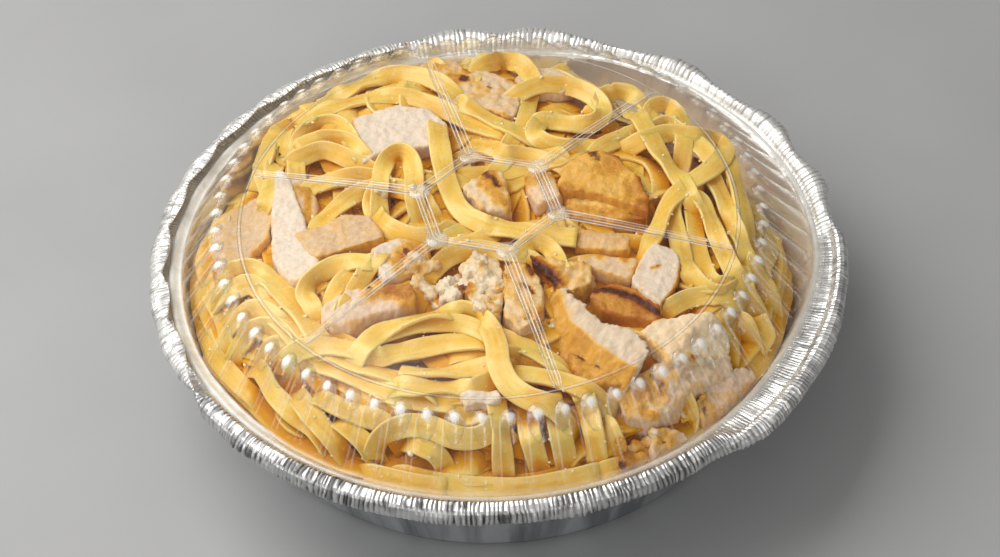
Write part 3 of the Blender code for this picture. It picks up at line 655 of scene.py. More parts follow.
# ------------------------------------------------------------------ lid
def build_lid(mat):
    per = 18
    cols = FLUTES * per
    # columns crowd together at the flutes' sides, where the film turns sharply
    x = ((np.arange(cols) % per) + 0.5) / per * 2.0 - 1.0
    x = 0.55 * x + 0.45 * np.sin(x * math.pi / 2)
    deg = (np.arange(cols) // per + 0.5 + x / 2) * 360.0 / FLUTES
    a = np.radians(deg)
    # meridian of the film without the flutes, from the rolled edge inwards
    line = [(107.1, 43.1), (107.3, 43.7), (106.9, 44.4), (106.2, 44.7), (105.5, 44.4), (105.0, 43.8), (104.2, 43.4),
            (103.5, 43.5), (102.9, 44.0)]
    wall = 14
    for k in range(1, wall + 1):
        f = k / wall
        line.append((102.9 + (90.6 - 102.9) * f, 44.0 + (59.7 - 44.0) * f))
    line += [(90.0, 60.4), (89.3, 60.95), (88.5, 61.3), (87.6, 61.48), (86.6, 61.55), (85.3, 61.65), (84.3, 61.75)]
    line = np.array(line)
    seg = np.linalg.norm(np.diff(line, axis=0), axis=1)
    dist = np.concatenate([[0], np.cumsum(seg)])
    tang = np.gradient(line, axis=0)
    nrm = np.stack([tang[:, 1], -tang[:, 0]], 1)
    nrm /= np.linalg.norm(nrm, axis=1)[:, None]
    # a flute is a rounded bulge that ends in a round shoulder near the top
    start = dist[8]
    stop = dist[9 + wall + 3]
    half = math.pi * 90.0 / FLUTES * 1.2
    rings, milk_and_light = [], []
    for k in range(len(line)):
        y = (dist[k] - (stop - half)) / half
        low = (start + 2.0 - dist[k]) / 2.0
        rho = np.sqrt((x / 0.93) ** 2 + max(y, 0.0) ** 2 + max(low, 0.0) ** 2 * 0.9)
        lobe = np.clip(1.0 - rho ** 2, 0.0, 1.0) ** 0.75
        high = smooth01((dist[k] - start) / (stop - start))
        grow = 0.5 + 1.4 * high ** 1.3
        bulge = grow * lobe - 0.25 * (1 - lobe) * smooth01(1.0 - abs(y) * 0.6) if start - 2 < dist[k] < stop + 1 else 0.0 * lobe
        r = line[k, 0] + nrm[k, 0] * bulge + out_of_round(deg) * np.clip((line[k, 0] - 91.0) / 11.9, 0.0, 1.0)
        z = line[k, 1] + nrm[k, 1] * bulge
        rings.append(np.stack([r * np.cos(a), r * np.sin(a), z], 1))
        # milky lines along the flute edges: partly whitening of the bent film, partly painted highlight lines
        edge = np.exp(-((rho - 0.87) / 0.055) ** 2) * (0.45 + 0.8 * high ** 2) if start - 1 < dist[k] < stop + 2 else 0.0 * rho
        # painted light: the rolled edge is much milkier on the left, where the key light falls
        roll = (0.45 + 2.6 * ramp(deg, 110.0, 225.0, 20.0)) * (0.75 + 0.25 * np.cos(a * 7.0) * np.sin(a * 3.0))
        milk_and_light.append(edge + (roll if dist[k] < start else 0.0))
    top_cols = 204
    ta = np.radians(np.arange(top_cols) * 360.0 / top_cols)
    for r in (83.0, 79.0, 72.0, 64.0, 55.0, 46.0, 37.0, 28.0, 19.0, 10.0):
        z = lid_top_z(r) + 0.12 * np.sin(3 * ta + r * 0.2)
        rings.append(np.stack([r * np.cos(ta), r * np.sin(ta), z], 1))
        milk_and_light.append(np.zeros(top_cols))
    rings.reverse()
    milk_and_light.reverse()
    verts, quads, tris = sheet_from_grid(rings, 0.25, 1.0)
    parts = [(verts, quads, tris, np.concatenate(milk_and_light + milk_and_light + [np.zeros(2)]))]

    def bead(path, section, closed=False, taper=0.0, milk_highlight=2.3):
        """A low ridge on the film: a section (side, up) swept along points on the top."""
        path = np.asarray(path, float)
        n = len(path)
        tg = np.gradient(path, axis=0) if not closed else np.roll(path, -1, 0) - np.roll(path, 1, 0)
        tg /= np.linalg.norm(tg, axis=1)[:, None]
        side = np.stack([-tg[:, 1], tg[:, 0]], 1)
        side /= np.linalg.norm(side, axis=1)[:, None]
        m = len(section)
        v = np.zeros((n, m, 3))
        for j in range(m):
            u, h = section[j]
            scale = np.ones(n)
            if taper and not closed:
                f = np.arange(n) / (n - 1.0)
                scale = np.minimum(1.0, np.minimum(f, 1 - f) / taper + 0.15) * (1.0 - 0.28 * f)
            xy = path + side * (u * np.maximum(scale, 0.55))[:, None]
            r = np.linalg.norm(xy, axis=1)
            v[:, j, :2] = xy
            v[:, j, 2] = lid_top_z(r) + 0.02 + h * scale
        idx = np.arange(n * m).reshape(n, m)
        q = []
        rows = n if closed else n - 1
        for i in range(rows):
            b = (i + 1) % n
            for j in range(m):
                k2 = (j + 1) % m
                q.append((idx[i, j], idx[i, k2], idx[b, k2], idx[b, j]))
        t = []
        if not closed:
            for j in range(1, m - 1):
                t.append((idx[0, 0], idx[0, j + 1], idx[0, j]))
                t.append((idx[-1, 0], idx[-1, j], idx[-1, j + 1]))
        top = max(h for u, h in section)
        tone = np.zeros((n, m))
        for j, (u, h) in enumerate(section):
            if h > 0.8 * top:
                # the painted highlight whitening comes and goes along each ridge
                lane = math.floor(u * 0.8) * 1.7 + len(parts)
                tone[:, j] = milk_highlight * (0.45 + 0.55 * smooth01(0.5 + 0.9 * np.sin(np.arange(n) * 0.21 + lane * 2.3)))
        parts.append((v.reshape(-1, 3), np.array(q), np.array(t, int).reshape(-1, 3), tone.reshape(-1)))

    rail = [(-2.3, 0.0)]
    for u in (-1.95, -0.7, 0.7, 1.95):
        rail += [(u - 0.3, 0.04), (u - 0.13, 0.3), (u + 0.13, 0.3), (u + 0.3, 0.04)]
    rail += [(2.3, 0.0), (0.0, -0.1)]
    for k in range(6):
        d = math.radians(ARM_PHASE + 60.0 * k)
        rr = np.linspace(HEX_R - 1.0, ARM_END_R, 40)
        bead(np.stack([rr * math.cos(d), rr * math.sin(d)], 1), rail, taper=0.04)
    ring = []
    corners = [(math.cos(math.radians(ARM_PHASE + 60.0 * k)) * (HEX_R - 1.5), math.sin(math.radians(ARM_PHASE + 60.0 * k)) * (HEX_R - 1.5)) for k in range(6)]
    for k in range(6):
        p, q = np.array(corners[k]), np.array(corners[(k + 1) % 6])
        for f in (0.06, 0.12, 0.2, 0.35, 0.5, 0.65, 0.8, 0.88, 0.94):
            ring.append(p + (q - p) * f)
        nxt = np.array(corners[(k + 2) % 6])
        ring.append(q * 0.975)
    bead(ring, tuple((u * 0.85, h) for u, h in rail), closed=True)
    # the crease where the flat top ends
    t = np.radians(np.arange(240) * 1.5)
    bead(np.stack([81.9 * np.cos(t), 81.9 * np.sin(t)], 1), ((-0.7, 0.0), (-0.3, 0.1), (0.0, 0.16), (0.3, 0.1), (0.7, 0.0), (0.0, -0.08)),
         closed=True, milk_highlight=1.7)
    # a round knob closes each flute at the shoulder
    knobs = []
    tilt = math.radians(36.0)
    rows, seg_n, steep = 7, 16, math.radians(56.0)
    for k in range(FLUTES):
        d = math.radians((k + 0.5) * 360.0 / FLUTES)
        e_r = np.array([math.cos(d), math.sin(d), 0.0])
        e_t = np.array([-math.sin(d), math.cos(d), 0.0])
        up = math.sin(tilt) * e_r + np.array([0.0, 0.0, math.cos(tilt)])
        run = math.cos(tilt) * e_r - np.array([0.0, 0.0, math.sin(tilt)])
        size = 1.0 + 0.06 * math.sin(k * 2.7) + 0.04 * math.sin(k * 1.1)
        c = e_r * 89.4 + np.array([0.0, 0.0, 60.7]) + up * 0.75
        v, knob_highlight = [], []
        for i in range(rows):
            phi = steep * (1.0 - i / rows)
            rad, h = math.sin(phi) / math.sin(steep), (math.cos(phi) - math.cos(steep)) / (1.0 - math.cos(steep))
            for j in range(seg_n):
                t = 2 * math.pi * j / seg_n
                side = 3.3 * rad * math.cos(t)
                # round at the top, drawn out into the flute below
                fall = math.sin(t) * rad * (3.7 if math.sin(t) < 0 else 8.0)
                low = float(smooth01((math.sin(t) + 0.2) / 0.9))
                rise = h * (1.0 - low) + (1.0 - rad ** 2) ** 2 * low
                v.append(c + size * (side * e_t + fall * run) + (1.6 * rise - 0.03 * max(fall, 0.0) ** 2) * up)
                # painted highlight: a milky white patch near the top of each knob
                knob_highlight.append(math.hypot(side / 1.35, (fall + 0.4) / 1.6))
        v += [c + 1.6 * up, c - 0.05 * up]
        knob_highlight += [0.15, 9.0]
        knob_highlight = 3.4 * smooth01((1.3 - np.array(knob_highlight)) / 0.6)
        q, t3 = [], []
        for i in range(rows - 1):
            for j in range(seg_n):
                j2 = (j + 1) % seg_n
                q.append((i * seg_n + j, i * seg_n + j2, (i + 1) * seg_n + j2, (i + 1) * seg_n + j))
        for j in range(seg_n):
            j2 = (j + 1) % seg_n
            t3.append(((rows - 1) * seg_n + j, (rows - 1) * seg_n + j2, rows * seg_n))
            t3.append((j2, j, rows * seg_n + 1))
        knobs.append(len(parts))
        parts.append((np.array(v), np.array(q), np.array(t3), knob_highlight))
    # small domes where the arms meet the hexagon
    for k in range(6):
        c = np.array(corners[k])
        rows, seg_n = 5, 16
        v = []
        for i in range(rows):
            rad = 3.9 * math.cos(math.pi / 2 * i / rows)
            h = 0.95 * math.sin(math.pi / 2 * i / rows)
            for j in range(seg_n):
                t = 2 * math.pi * j / seg_n
                xy = c + rad * np.array([math.cos(t), math.sin(t)])
                v.append((xy[0], xy[1], float(lid_top_z(np.linalg.norm(xy))) + h))
        v.append((c[0], c[1], float(lid_top_z(np.linalg.norm(c))) + 0.95))
        v.append((c[0], c[1], float(lid_top_z(np.linalg.norm(c))) - 0.1))
        q, t3 = [], []
        for i in range(rows - 1):
            for j in range(seg_n):
                j2 = (j + 1) % seg_n
                q.append((i * seg_n + j, i * seg_n + j2, (i + 1) * seg_n + j2, (i + 1) * seg_n + j))
        top, low = rows * seg_n, rows * seg_n + 1
        for j in range(seg_n):
            j2 = (j + 1) % seg_n
            t3.append(((rows - 1) * seg_n + j, (rows - 1) * seg_n + j2, top))
            t3.append((j2, j, low))
        # the domes carry a painted highlight as a fixed milky whitening
        parts.append((np.array(v), np.array(q), np.array(t3), np.full(len(v), 0.5)))
    vs, qs, ts, bend, knob, base = [], [], [], [], [], 0
    for number, (v, q, t, tone) in enumerate(parts):
        v, q, t = outward(v, q, t)
        # the knobs keep their stronger painted highlight; other parts are capped
        if number not in knobs:
            tone = np.minimum(tone, 2.4)
        bend.append(tone)
        knob.append(np.full(len(v), 1.0 if number in knobs or tone.min() > 0.4 else 0.0))
        vs.append(v)
        qs.append(q + base)
        ts.append(t + base)
        base += len(v)
    ob = mesh_object("lid", np.concatenate(vs), np.concatenate(qs), np.concatenate(ts), mat,
                     floats={"bend": np.clip(np.concatenate(bend), 0.0, 3.6), "knob": np.concatenate(knob)})
    tidy_normals(ob)
    return ob


# ------------------------------------------------------------------ heights of the heap
CELL = 0.6
SIDE = 400
HALF = CELL * SIDE / 2
GX, GY = np.meshgrid((np.arange(SIDE) + 0.5) * CELL - HALF, (np.arange(SIDE) + 0.5) * CELL - HALF, indexing="ij")


def heap_base(x, y):
    """Broad outline of the heap: crowned, steep at the shoulder, standing back at the rear."""
    r = np.hypot(x, y)
    deg = np.degrees(np.arctan2(y, x))
    b1 = smooth01(1.25 - np.abs(wrap_deg(deg - 44.0)) / 44.0)
    b2 = smooth01(1.0 - np.abs(wrap_deg(deg - 152.0)) / 26.0)
    b3 = smooth01(1.3 - np.abs(wrap_deg(deg + 100.0)) / 52.0)
    rr = r + 11.0 * b1 + 8.0 * b2 + 6.0 * b3
    crown = 57.5 + 3.0 * (1.0 - np.minimum(1.0, (r / 80.0) ** 2))
    shoulder = smooth01((rr - 79.0) / 26.0)
    low = 43.8 - 16.0 * b1 - 9.0 * b2
    z = crown * (1.0 - shoulder) + low * shoulder
    z = z + 1.3 * np.sin(x * 0.11 + 0.7) * np.sin(y * 0.13 + 1.9) - 0.6
    return np.minimum(z, lid_limit(r) - 0.8)


def cell(x, y):
    i = np.clip(((x + HALF) / CELL).astype(int), 0, SIDE - 1)
    j = np.clip(((y + HALF) / CELL).astype(int), 0, SIDE - 1)
    return i, j


def look(grid, x, y):
    i, j = cell(np.asarray(x, float), np.asarray(y, float))
    return grid[i, j]


CORE_DROP = 9.0
HEAP = heap_base(GX, GY)
TOPS = HEAP - CORE_DROP


# ------------------------------------------------------------------ chicken: where each piece lies
# x, y, spread in x and y, how many, smallest and largest radius, browning
CRUMBS = (
    (-21.5, -24.1, 7, 7, 9, 2.2, 3.4, 0.3),
    (-19.6, -30.1, 6, 5, 6, 2, 3, 0.2),
    (-13.2, -32.3, 7, 7, 12, 1.8, 2.8, -0.35),
    (-6.6, -23.7, 7, 6, 8, 1.8, 2.8, 0.1),
    (-2.3, -30.3, 8, 9, 14, 1.8, 3, 0.05),
    (-6.9, -33.6, 5, 5, 7, 1.6, 2.6, 0.5),
    (-1.3, -41.0, 5, 6, 8, 1.6, 2.6, 0.05),
    (1.7, -45.3, 6, 4, 5, 1.2, 2, 0.5),
    (14.8, -48.9, 6, 6, 5, 1, 1.8, 0.4),
    (-5.5, 28.6, 7, 4, 5, 1, 1.6, 0.3),
    (11.6, 32.7, 8, 4, 5, 0.9, 1.4, 0.2),
    (-29.1, 12.1, 12, 5, 4, 0.8, 1.3, 0.1),
    (62.4, -76.8, 9, 5, 4, 1, 1.6, 0.4),
    (50.3, -94.9, 7, 4, 5, 1.4, 2.4, 0.4),
    (42.5, -97.9, 6, 3, 4, 1.4, 2.2, 0.6),
    (-89.5, 14.6, 6, 6, 5, 1, 1.8, 0.1),
)
MEAT = {
    "chicken_01": dict(top=((-46.6, 50.4), (-29.9, 56.9), (-18.8, 53.7), (-12.0, 44.8), (-18.3, 34.8), (-34.4, 32.9), (-42.1, 28.0)), z=60.5, slope=(0, 0.04), down=(0, 0, -9),
        tint=(240, 224, 206), brown=0.03, shred=0, faces=(),
        spots=((-35.5, 56.8, 61.0, 1.8, 0.9), (-32.0, 57.6, 61.1, 1.8, 0.9), (-29.3, 57.9, 61.1, 1.2, 0.5), (-45.8, 46.9, 60.7, 2, 0.25)),
        chars=((-34.1, 57.2, 61.1, 1.1, 0.5),),
        lines=()),
    "chicken_02": dict(top=((-71.4, 30.1), (-66.3, 22.0), (-59.7, -1.6), (-54.1, -22.2), (-59.5, -26.9), (-64.3, -27.2), (-70.2, -17.5), (-71.9, 4.7)), z=60.1, slope=(0.06, 0), down=(0, 0, -11),
        tint=(240, 224, 206), brown=0.04, shred=0, faces=(),
        spots=((-72.7, 0.0, 59.6, 2.2, 0.3), (-63.7, -27.3, 60.2, 3, 0.15)),
        chars=(),
        lines=()),
    "chicken_03": dict(top=((-66.7, 22.5), (-61.4, 22.6), (-56.9, 13.7), (-56.5, 1.2), (-60.3, -0.5), (-63.3, 10.0)), z=58.1, slope=(-0.25, 0), down=(0, 0, -9),
        tint=(236, 206, 176), brown=0.2, shred=0, faces=(),
        spots=((-62.9, 17.3, 58.6, 4, 0.6), (-59.2, 5.9, 57.7, 4, 0.5)),
        chars=((-60.3, 0.5, 58.0, 1.6, 0.7),),
        lines=((0.7, 1.6, False, ((-61.8, 24.5, 58.3), (-60.2, 15.0, 57.9), (-59.8, 2.5, 57.8))),)),
    "chicken_04": dict(top=((-64.4, -5.4), (-55.9, -3.4), (-47.2, 1.8), (-38.9, 0.6), (-33.6, -10.0), (-42.0, -12.8), (-51.7, -16.4), (-56.2, -17.8), (-60.6, -12.5)), z=61.5, slope=(0.03, 0.03), down=(0, -1, -8),
        tint=(224, 190, 150), brown=0.12, shred=0, faces=((0, -1, 0, 0.45),),
        spots=((-61.7, -9.2, 61.1, 3, 0.3), (-48.7, -3.6, 61.7, 5, 0.25), (-38.2, -4.5, 62.0, 5, 0.2)),
        chars=(),
        lines=((0.5, 1, False, ((-56.5, -14.4, 58.6), (-47.1, -12.6, 59.0), (-36.4, -9.0, 59.4))),)),
    "chicken_05": dict(top=((-38.6, -16.6), (-28.6, -10.8), (-19.9, -13.8), (-18.7, -21.7), (-27.7, -27.7), (-34.1, -30.0)), z=61.9, slope=(-0.1, 0.1), down=(0, 0, -12),
        tint=(240, 224, 206), brown=0.03, shred=0, faces=((1, -0.1, 0.1, 0.5),),
        spots=((-27.7, -20.3, 61.9, 5, 0.9), (-24.5, -16.9, 61.9, 5, 0.8), (-21.3, -21.8, 61.1, 5, 0.8), (-29.0, -25.3, 61.5, 3, 0.6)),
        chars=(),
        lines=((0.75, 1.3, True, ((-27.1, -17.4, 61.6), (-25.2, -19.8, 61.2))), (0.7, 1.6, False, ((-28.5, -20.2, 59.9), (-24.0, -22.5, 59.3))))),
    "chicken_06": dict(top=((-54.3, -39.2), (-46.4, -33.3), (-33.7, -31.2), (-25.1, -31.2), (-23.3, -38.5), (-35.3, -42.5), (-47.9, -47.3), (-53.5, -45.4)), z=60.9, slope=(0, 0.12), down=(-1, -5, -12),
        tint=(242, 212, 184), brown=0.02, shred=0.3, faces=((0, -1, 0, 0.3),),
        spots=((-37.9, -34.9, 61.3, 4, 0.7), (-32.1, -34.0, 61.4, 4.5, 0.9), (-27.4, -35.1, 61.3, 5, 0.9), (-26.5, -39.1, 60.8, 4, 0.6)),
        chars=(),
        lines=()),
    "chicken_07": dict(top=((-18.1, 81.7), (-10.5, 83.5), (-4.6, 74.8), (1.1, 76.8), (13.2, 65.5), (12.4, 55.2), (10.1, 48.1), (-2.9, 56.3), (-12.6, 54.7), (-16.0, 65.2)), z=59.1, slope=(0, -0.05), down=(0, 0, -14),
        tint=(228, 200, 164), brown=0.15, shred=0.35, faces=((0, -1, 0, 0.2),),
        spots=((-15.2, 79.1, 58.5, 4, 0.6), (-10.0, 71.7, 58.8, 5, 0.8), (-2.0, 63.1, 59.3, 4, 0.5), (-6.0, 76.1, 58.6, 3, 0.8)),
        chars=((-6.8, 70.9, 58.9, 2, 1), (1.9, 65.1, 59.2, 1.2, 0.5)),
        lines=((0.5, 2.2, False, ((-15.2, 80.3, 58.4), (-8.2, 73.9, 58.7), (0.8, 64.0, 59.2))),)),
    "chicken_08": dict(top=((10.9, 73.3), (16.1, 79.9), (28.2, 78.3), (33.4, 69.2), (27.5, 63.5), (15.5, 63.1)), z=56.5, slope=(0, -0.1), down=(0, 0, -8),
        tint=(236, 212, 180), brown=0.04, shred=0, faces=(),
        spots=(),
        chars=(),
        lines=()),
    "chicken_09": dict(top=((-8.4, 12.3), (1.1, 19.1), (5.8, 17.3), (7.5, 0.2), (3.2, -1.9), (-3.3, -0.5)), z=63.3, slope=(0, 0), down=(0, 0, -10),
        tint=(240, 214, 176), brown=0.1, shred=0.5, faces=(),
        spots=((0.4, 15.2, 63.3, 4, 0.9), (2.5, 8.2, 63.3, 5, 0.4), (4.0, 3.3, 63.3, 4, 0.5)),
        chars=(),
        lines=((0.75, 1.3, True, ((-0.9, 17.2, 63.3), (1.7, 14.1, 63.3), (3.5, 10.1, 63.3))), (0.65, 2.4, False, ((-1.1, 11.4, 63.3), (3.4, 5.3, 63.3), (6.5, 0.3, 63.3))))),
    "chicken_10": dict(top=((12.5, 19.1), (21.8, 18.5), (24.5, 5.4), (20.5, 4.1), (15.8, 2.5), (12.8, 10.3)), z=61.3, slope=(0.1, 0), down=(0, 0, -9),
        tint=(238, 206, 172), brown=0.12, shred=0.2, faces=(),
        spots=((14.3, 14.9, 60.9, 4, 0.4), (19.4, 16.5, 61.4, 4, 0.5)),
        chars=(),
        lines=()),
    "chicken_11": dict(top=((22.9, 12.5), (25.9, 18.6), (30.9, 24.1), (38.4, 25.9), (44.8, 21.5), (50.2, 12.7), (53.4, 2.9), (52.6, -3.1), (46.0, 0.7), (38.3, 4.6), (31.6, 7.2), (25.9, 7.1)), z=62.5, slope=(0, 0.1), down=(0, -2, -13),
        tint=(240, 188, 98), brown=0.42, shred=0.16, faces=((0, -1, 0, 0.2),),
        spots=((41.9, 18.5, 63.2, 8, 0.75), (49.9, 8.3, 62.2, 7, 0.8), (51.5, -0.5, 61.3, 6, 0.95), (36.3, 13.5, 62.7, 5, 0.4), (26.0, 8.8, 62.3, 4, 0.8)),
        chars=((35.6, 23.8, 63.8, 1.9, 0.8), (37.1, 21.9, 63.6, 1.6, 0.6)),
        lines=((0.8, 1, False, ((31.6, 8.1, 61.2), (38.4, 5.6, 60.9), (46.1, 1.7, 60.5), (51.8, -1.7, 60.2))), (0.6, 0.7, False, ((34.7, 20.7, 63.5), (35.5, 12.7, 62.6))), (0.6, 0.7, False, ((39.5, 22.2, 63.6), (41.3, 8.8, 62.3))), (0.6, 0.7, False, ((43.9, 18.4, 63.2), (46.9, 4.1, 61.8))))),
    "chicken_11b": dict(top=((24.9, 6.6), (31.7, 8.8), (39.1, 6.2), (46.8, 2.7), (52.2, -0.6), (51.6, -3.6), (40.5, -2.6), (29.1, -0.6)), z=59.0, slope=(0, 0.1), down=(0, -1, -9),
        tint=(248, 204, 120), brown=0.32, shred=0.12, faces=(),
        spots=((49.9, -0.5, 58.7, 6, 1), (44.0, 0.7, 58.9, 4, 0.7), (25.9, 6.1, 59.4, 3, 0.7)),
        chars=(),
        lines=((0.75, 1.6, True, ((29.2, 1.7, 56.5), (36.8, 0.4, 56.3), (43.3, -0.4, 56.3), (52.2, -1.3, 56.2))), (0.5, 1, False, ((36.9, 2.8, 59.1), (44.0, 0.7, 58.9), (51.8, -1.5, 58.6))))),
    "chicken_12": dict(top=((28.6, -9.4), (46.3, -12.7), (44.2, -19.5), (27.5, -17.1)), z=60.3, slope=(0, 0.2), down=(0, 0, -6),
        tint=(236, 196, 146), brown=0.25, shred=0.1, faces=((0, -1, 0, 0.35),),
        spots=(),
        chars=(),
        lines=()),
    "chicken_13": dict(top=((27.9, -22.4), (48.3, -24.3), (43.8, -33.4), (28.0, -26.3)), z=61.7, slope=(0, 0.15), down=(0, 0, -7),
        tint=(232, 200, 160), brown=0.08, shred=0, faces=((0, -1, 0, 0.25), (0, 1, 0.2, 0.5)),
        spots=((35.2, -23.6, 62.2, 2, 0.6), (43.1, -24.8, 62.0, 2, 0.7), (30.4, -24.1, 62.1, 2, 0.5)),
        chars=(),
        lines=((0.75, 1.2, False, ((29.0, -20.8, 62.1), (36.9, -22.0, 61.9), (46.8, -22.6, 61.8))), (0.55, 0.7, True, ((28.9, -22.1, 58.4), (37.0, -25.7, 57.8), (44.5, -28.5, 57.4))))),
    "chicken_14": dict(top=((52.4, -17.6), (48.2, -25.1), (44.0, -35.0), (49.2, -41.6), (53.2, -45.7), (59.1, -36.8), (60.9, -27.0), (59.8, -21.0)), z=61.7, slope=(-0.08, 0.05), down=(0, 0, -11),
        tint=(240, 222, 202), brown=0.02, shred=0, faces=(),
        spots=((56.5, -29.7, 61.5, 2, 0.15),),
        chars=(),
        lines=((1, 0.9, True, ((61.8, -28.1, 59.7), (60.6, -34.1, 59.5), (58.2, -39.7, 59.4), (54.7, -44.3, 59.4))), (0.5, 0.5, True, ((51.4, -29.7, 61.9), (54.0, -28.8, 61.8))))),
    "chicken_15": dict(top=((30.8, -38.0), (38.4, -34.0), (47.0, -37.3), (53.1, -44.4), (51.3, -51.1), (43.6, -49.1), (33.8, -45.4)), z=60.3, slope=(0, 0.1), down=(0, -3, -11),
        tint=(226, 154, 76), brown=0.8, shred=0, faces=((0, -1, 0, 0.2),),
        spots=((37.2, -41.6, 60.4, 5, 0.5), (46.5, -44.1, 60.2, 5, 0.6)),
        chars=((34.0, -42.6, 54.3, 2, 0.4),),
        lines=((1, 1.5, True, ((31.1, -37.7, 60.8), (35.0, -37.1, 60.9), (39.3, -38.5, 60.7), (43.6, -40.3, 60.5), (47.8, -43.4, 60.2), (51.3, -47.1, 59.9))), (0.55, 1.2, False, ((31.5, -41.7, 60.4), (37.8, -42.8, 60.3), (45.1, -45.6, 60.0), (50.4, -49.8, 59.6))), (0.8, 2.2, True, ((32.2, -40.7, 51.5), (39.6, -44.3, 51.1), (49.1, -45.6, 51.0))))),
    "chicken_16": dict(top=((12.2, -23.7), (22.3, -25.1), (32.4, -28.1), (32.6, -34.9), (25.4, -39.4), (18.1, -33.8)), z=63.1, slope=(-0.1, 0.05), down=(0, 0, -10),
        tint=(240, 200, 140), brown=0.15, shred=0.8, faces=((0, -1, 0, 0.4),),
        spots=((14.2, -27.1, 64.2, 4, 0.9), (18.2, -31.2, 63.6, 4, 0.8), (21.8, -34.5, 63.1, 3, 0.8), (30.2, -26.5, 62.7, 5, 0.2)),
        chars=(),
        lines=((1, 1.7, True, ((11.8, -24.6, 64.6), (14.5, -27.9, 64.2), (17.9, -31.2, 63.7), (20.5, -34.9, 63.2))), (0.35, 1.6, False, ((22.1, -28.5, 63.4), (31.1, -28.2, 62.5))))),
    "chicken_17": dict(top=((20.9, -34.5), (26.3, -39.7), (33.5, -50.2), (45.5, -56.6), (48.7, -63.1), (44.5, -70.2), (32.9, -60.2), (23.6, -48.8)), z=61.1, slope=(0.12, 0.2), down=(-11, -10, -14),
        tint=(228, 206, 180), brown=0.02, shred=0.25, faces=((-0.8, -0.6, 0.1, 0.6),),
        spots=((18.2, -37.0, 62.3, 3.5, 0.95), (20.3, -40.1, 59.9, 3, 0.8), (17.7, -38.8, 55.9, 6, 0.7), (23.0, -47.5, 52.8, 6, 0.55)),
        chars=((17.9, -37.0, 62.3, 1.2, 0.8),),
        lines=((0.8, 1.1, True, ((22.7, -52.8, 50.7), (28.5, -55.8, 50.8), (33.6, -58.7, 50.8), (39.0, -61.9, 50.8))), (0.35, 1, False, ((17.3, -34.9, 61.1), (21.5, -41.1, 60.4), (26.7, -49.5, 59.3), (31.8, -58.1, 58.2), (39.3, -65.6, 57.7))))),
    "chicken_18": dict(top=((23.0, -58.4), (32.7, -63.3), (42.3, -67.5), (39.8, -72.1), (27.5, -72.2), (23.9, -65.8)), z=55.1, slope=(0, 0.15), down=(0, 0, -11),
        tint=(226, 168, 104), brown=0.6, shred=0.5, faces=(),
        spots=(),
        chars=((26.6, -60.8, 56.0, 2, 0.7), (32.6, -64.0, 55.5, 2, 0.6)),
        lines=()),
    "chicken_19": dict(top=((45.0, -54.5), (51.7, -50.0), (66.5, -47.7), (70.3, -48.3), (73.8, -52.6), (73.9, -57.4), (70.2, -61.0), (59.9, -65.3), (53.1, -66.5), (50.8, -61.1)), z=59.0, slope=(0, 0.12), down=(0, 0, -11),
        tint=(255, 228, 190), brown=0, shred=0.12, faces=(),
        spots=((67.5, -60.8, 58.5, 2.4, 0.8), (61.6, -63.9, 58.1, 2.4, 0.8)),
        chars=(),
        lines=((0.45, 1.4, False, ((45.6, -55.5, 59.1), (51.3, -61.9, 58.3), (53.4, -66.5, 57.8))),)),
    "chicken_19b": dict(top=((52.5, -63.5), (60.3, -62.7), (70.4, -59.5), (74.1, -57.2), (75.1, -62.7), (66.9, -68.4), (59.8, -72.3), (53.7, -79.2), (46.9, -81.3), (40.7, -81.3), (36.9, -74.9), (41.6, -69.1)), z=54.0, slope=(0, 0.42), down=(0, 0, -11),
        tint=(244, 212, 176), brown=0.1, shred=0.3, faces=(),
        spots=((44.3, -73.4, 52.3, 6, 0.75), (39.9, -76.2, 51.1, 4, 0.7), (48.9, -74.8, 51.7, 4, 0.6), (61.7, -63.9, 56.3, 2.5, 0.85), (68.1, -61.5, 57.3, 2.5, 0.85), (54.6, -67.9, 54.6, 3, 0.35)),
        chars=(),
        lines=((0.5, 1, True, ((48.4, -68.8, 54.2), (51.3, -71.3, 53.2), (50.4, -74.3, 51.9))), (0.6, 1.6, False, ((40.5, -75.1, 51.6), (44.5, -79.4, 49.8), (48.7, -80.7, 49.2))))),
    "chicken_20": dict(top=((61.5, -72.7), (66.8, -66.8), (71.9, -62.5), (76.3, -59.5), (82.0, -58.8), (85.9, -64.0), (83.9, -68.1), (77.2, -72.5), (72.2, -75.7), (65.7, -79.1), (63.0, -77.3)), z=45.5, slope=(-0.15, 0.28), down=(0, 0, -9),
        tint=(250, 218, 190), brown=0.02, shred=0.25, faces=((0, -1, 0, 0.3),),
        spots=((66.6, -75.4, 44.7, 4, 0.6), (64.1, -72.3, 45.9, 3, 0.5)),
        chars=(),
        lines=((0.45, 0.9, True, ((63.8, -72.9, 44.8), (64.5, -75.5, 44.0), (66.5, -76.7, 43.3))), (0.3, 1.4, False, ((65.3, -69.5, 44.5), (72.2, -69.7, 43.4), (79.7, -64.6, 43.7))))),
    "chicken_21": dict(top=((45.8, -87.8), (47.4, -83.5), (52.5, -81.3), (57.4, -82.1), (60.3, -84.2), (56.3, -87.5), (51.8, -90.3), (47.4, -91.2)), z=43.0, slope=(-0.2, 0.4), down=(0, 0, -8),
        tint=(246, 214, 176), brown=0.1, shred=0.6, faces=(),
        spots=((51.2, -86.2, 43.2, 4, 0.6),),
        chars=((50.9, -85.9, 43.3, 0.8, 0.8),),
        lines=()),
    "chicken_22": dict(top=((36.3, -92.7), (38.7, -89.1), (45.7, -89.3), (47.6, -93.3), (39.7, -96.1)), z=42.0, slope=(-0.15, 0.4), down=(0, 0, -7),
        tint=(232, 190, 140), brown=0.45, shred=0.6, faces=(),
        spots=((40.0, -92.5, 42.1, 4, 0.8),),
        chars=((37.5, -93.6, 42.0, 1.5, 0.85),),
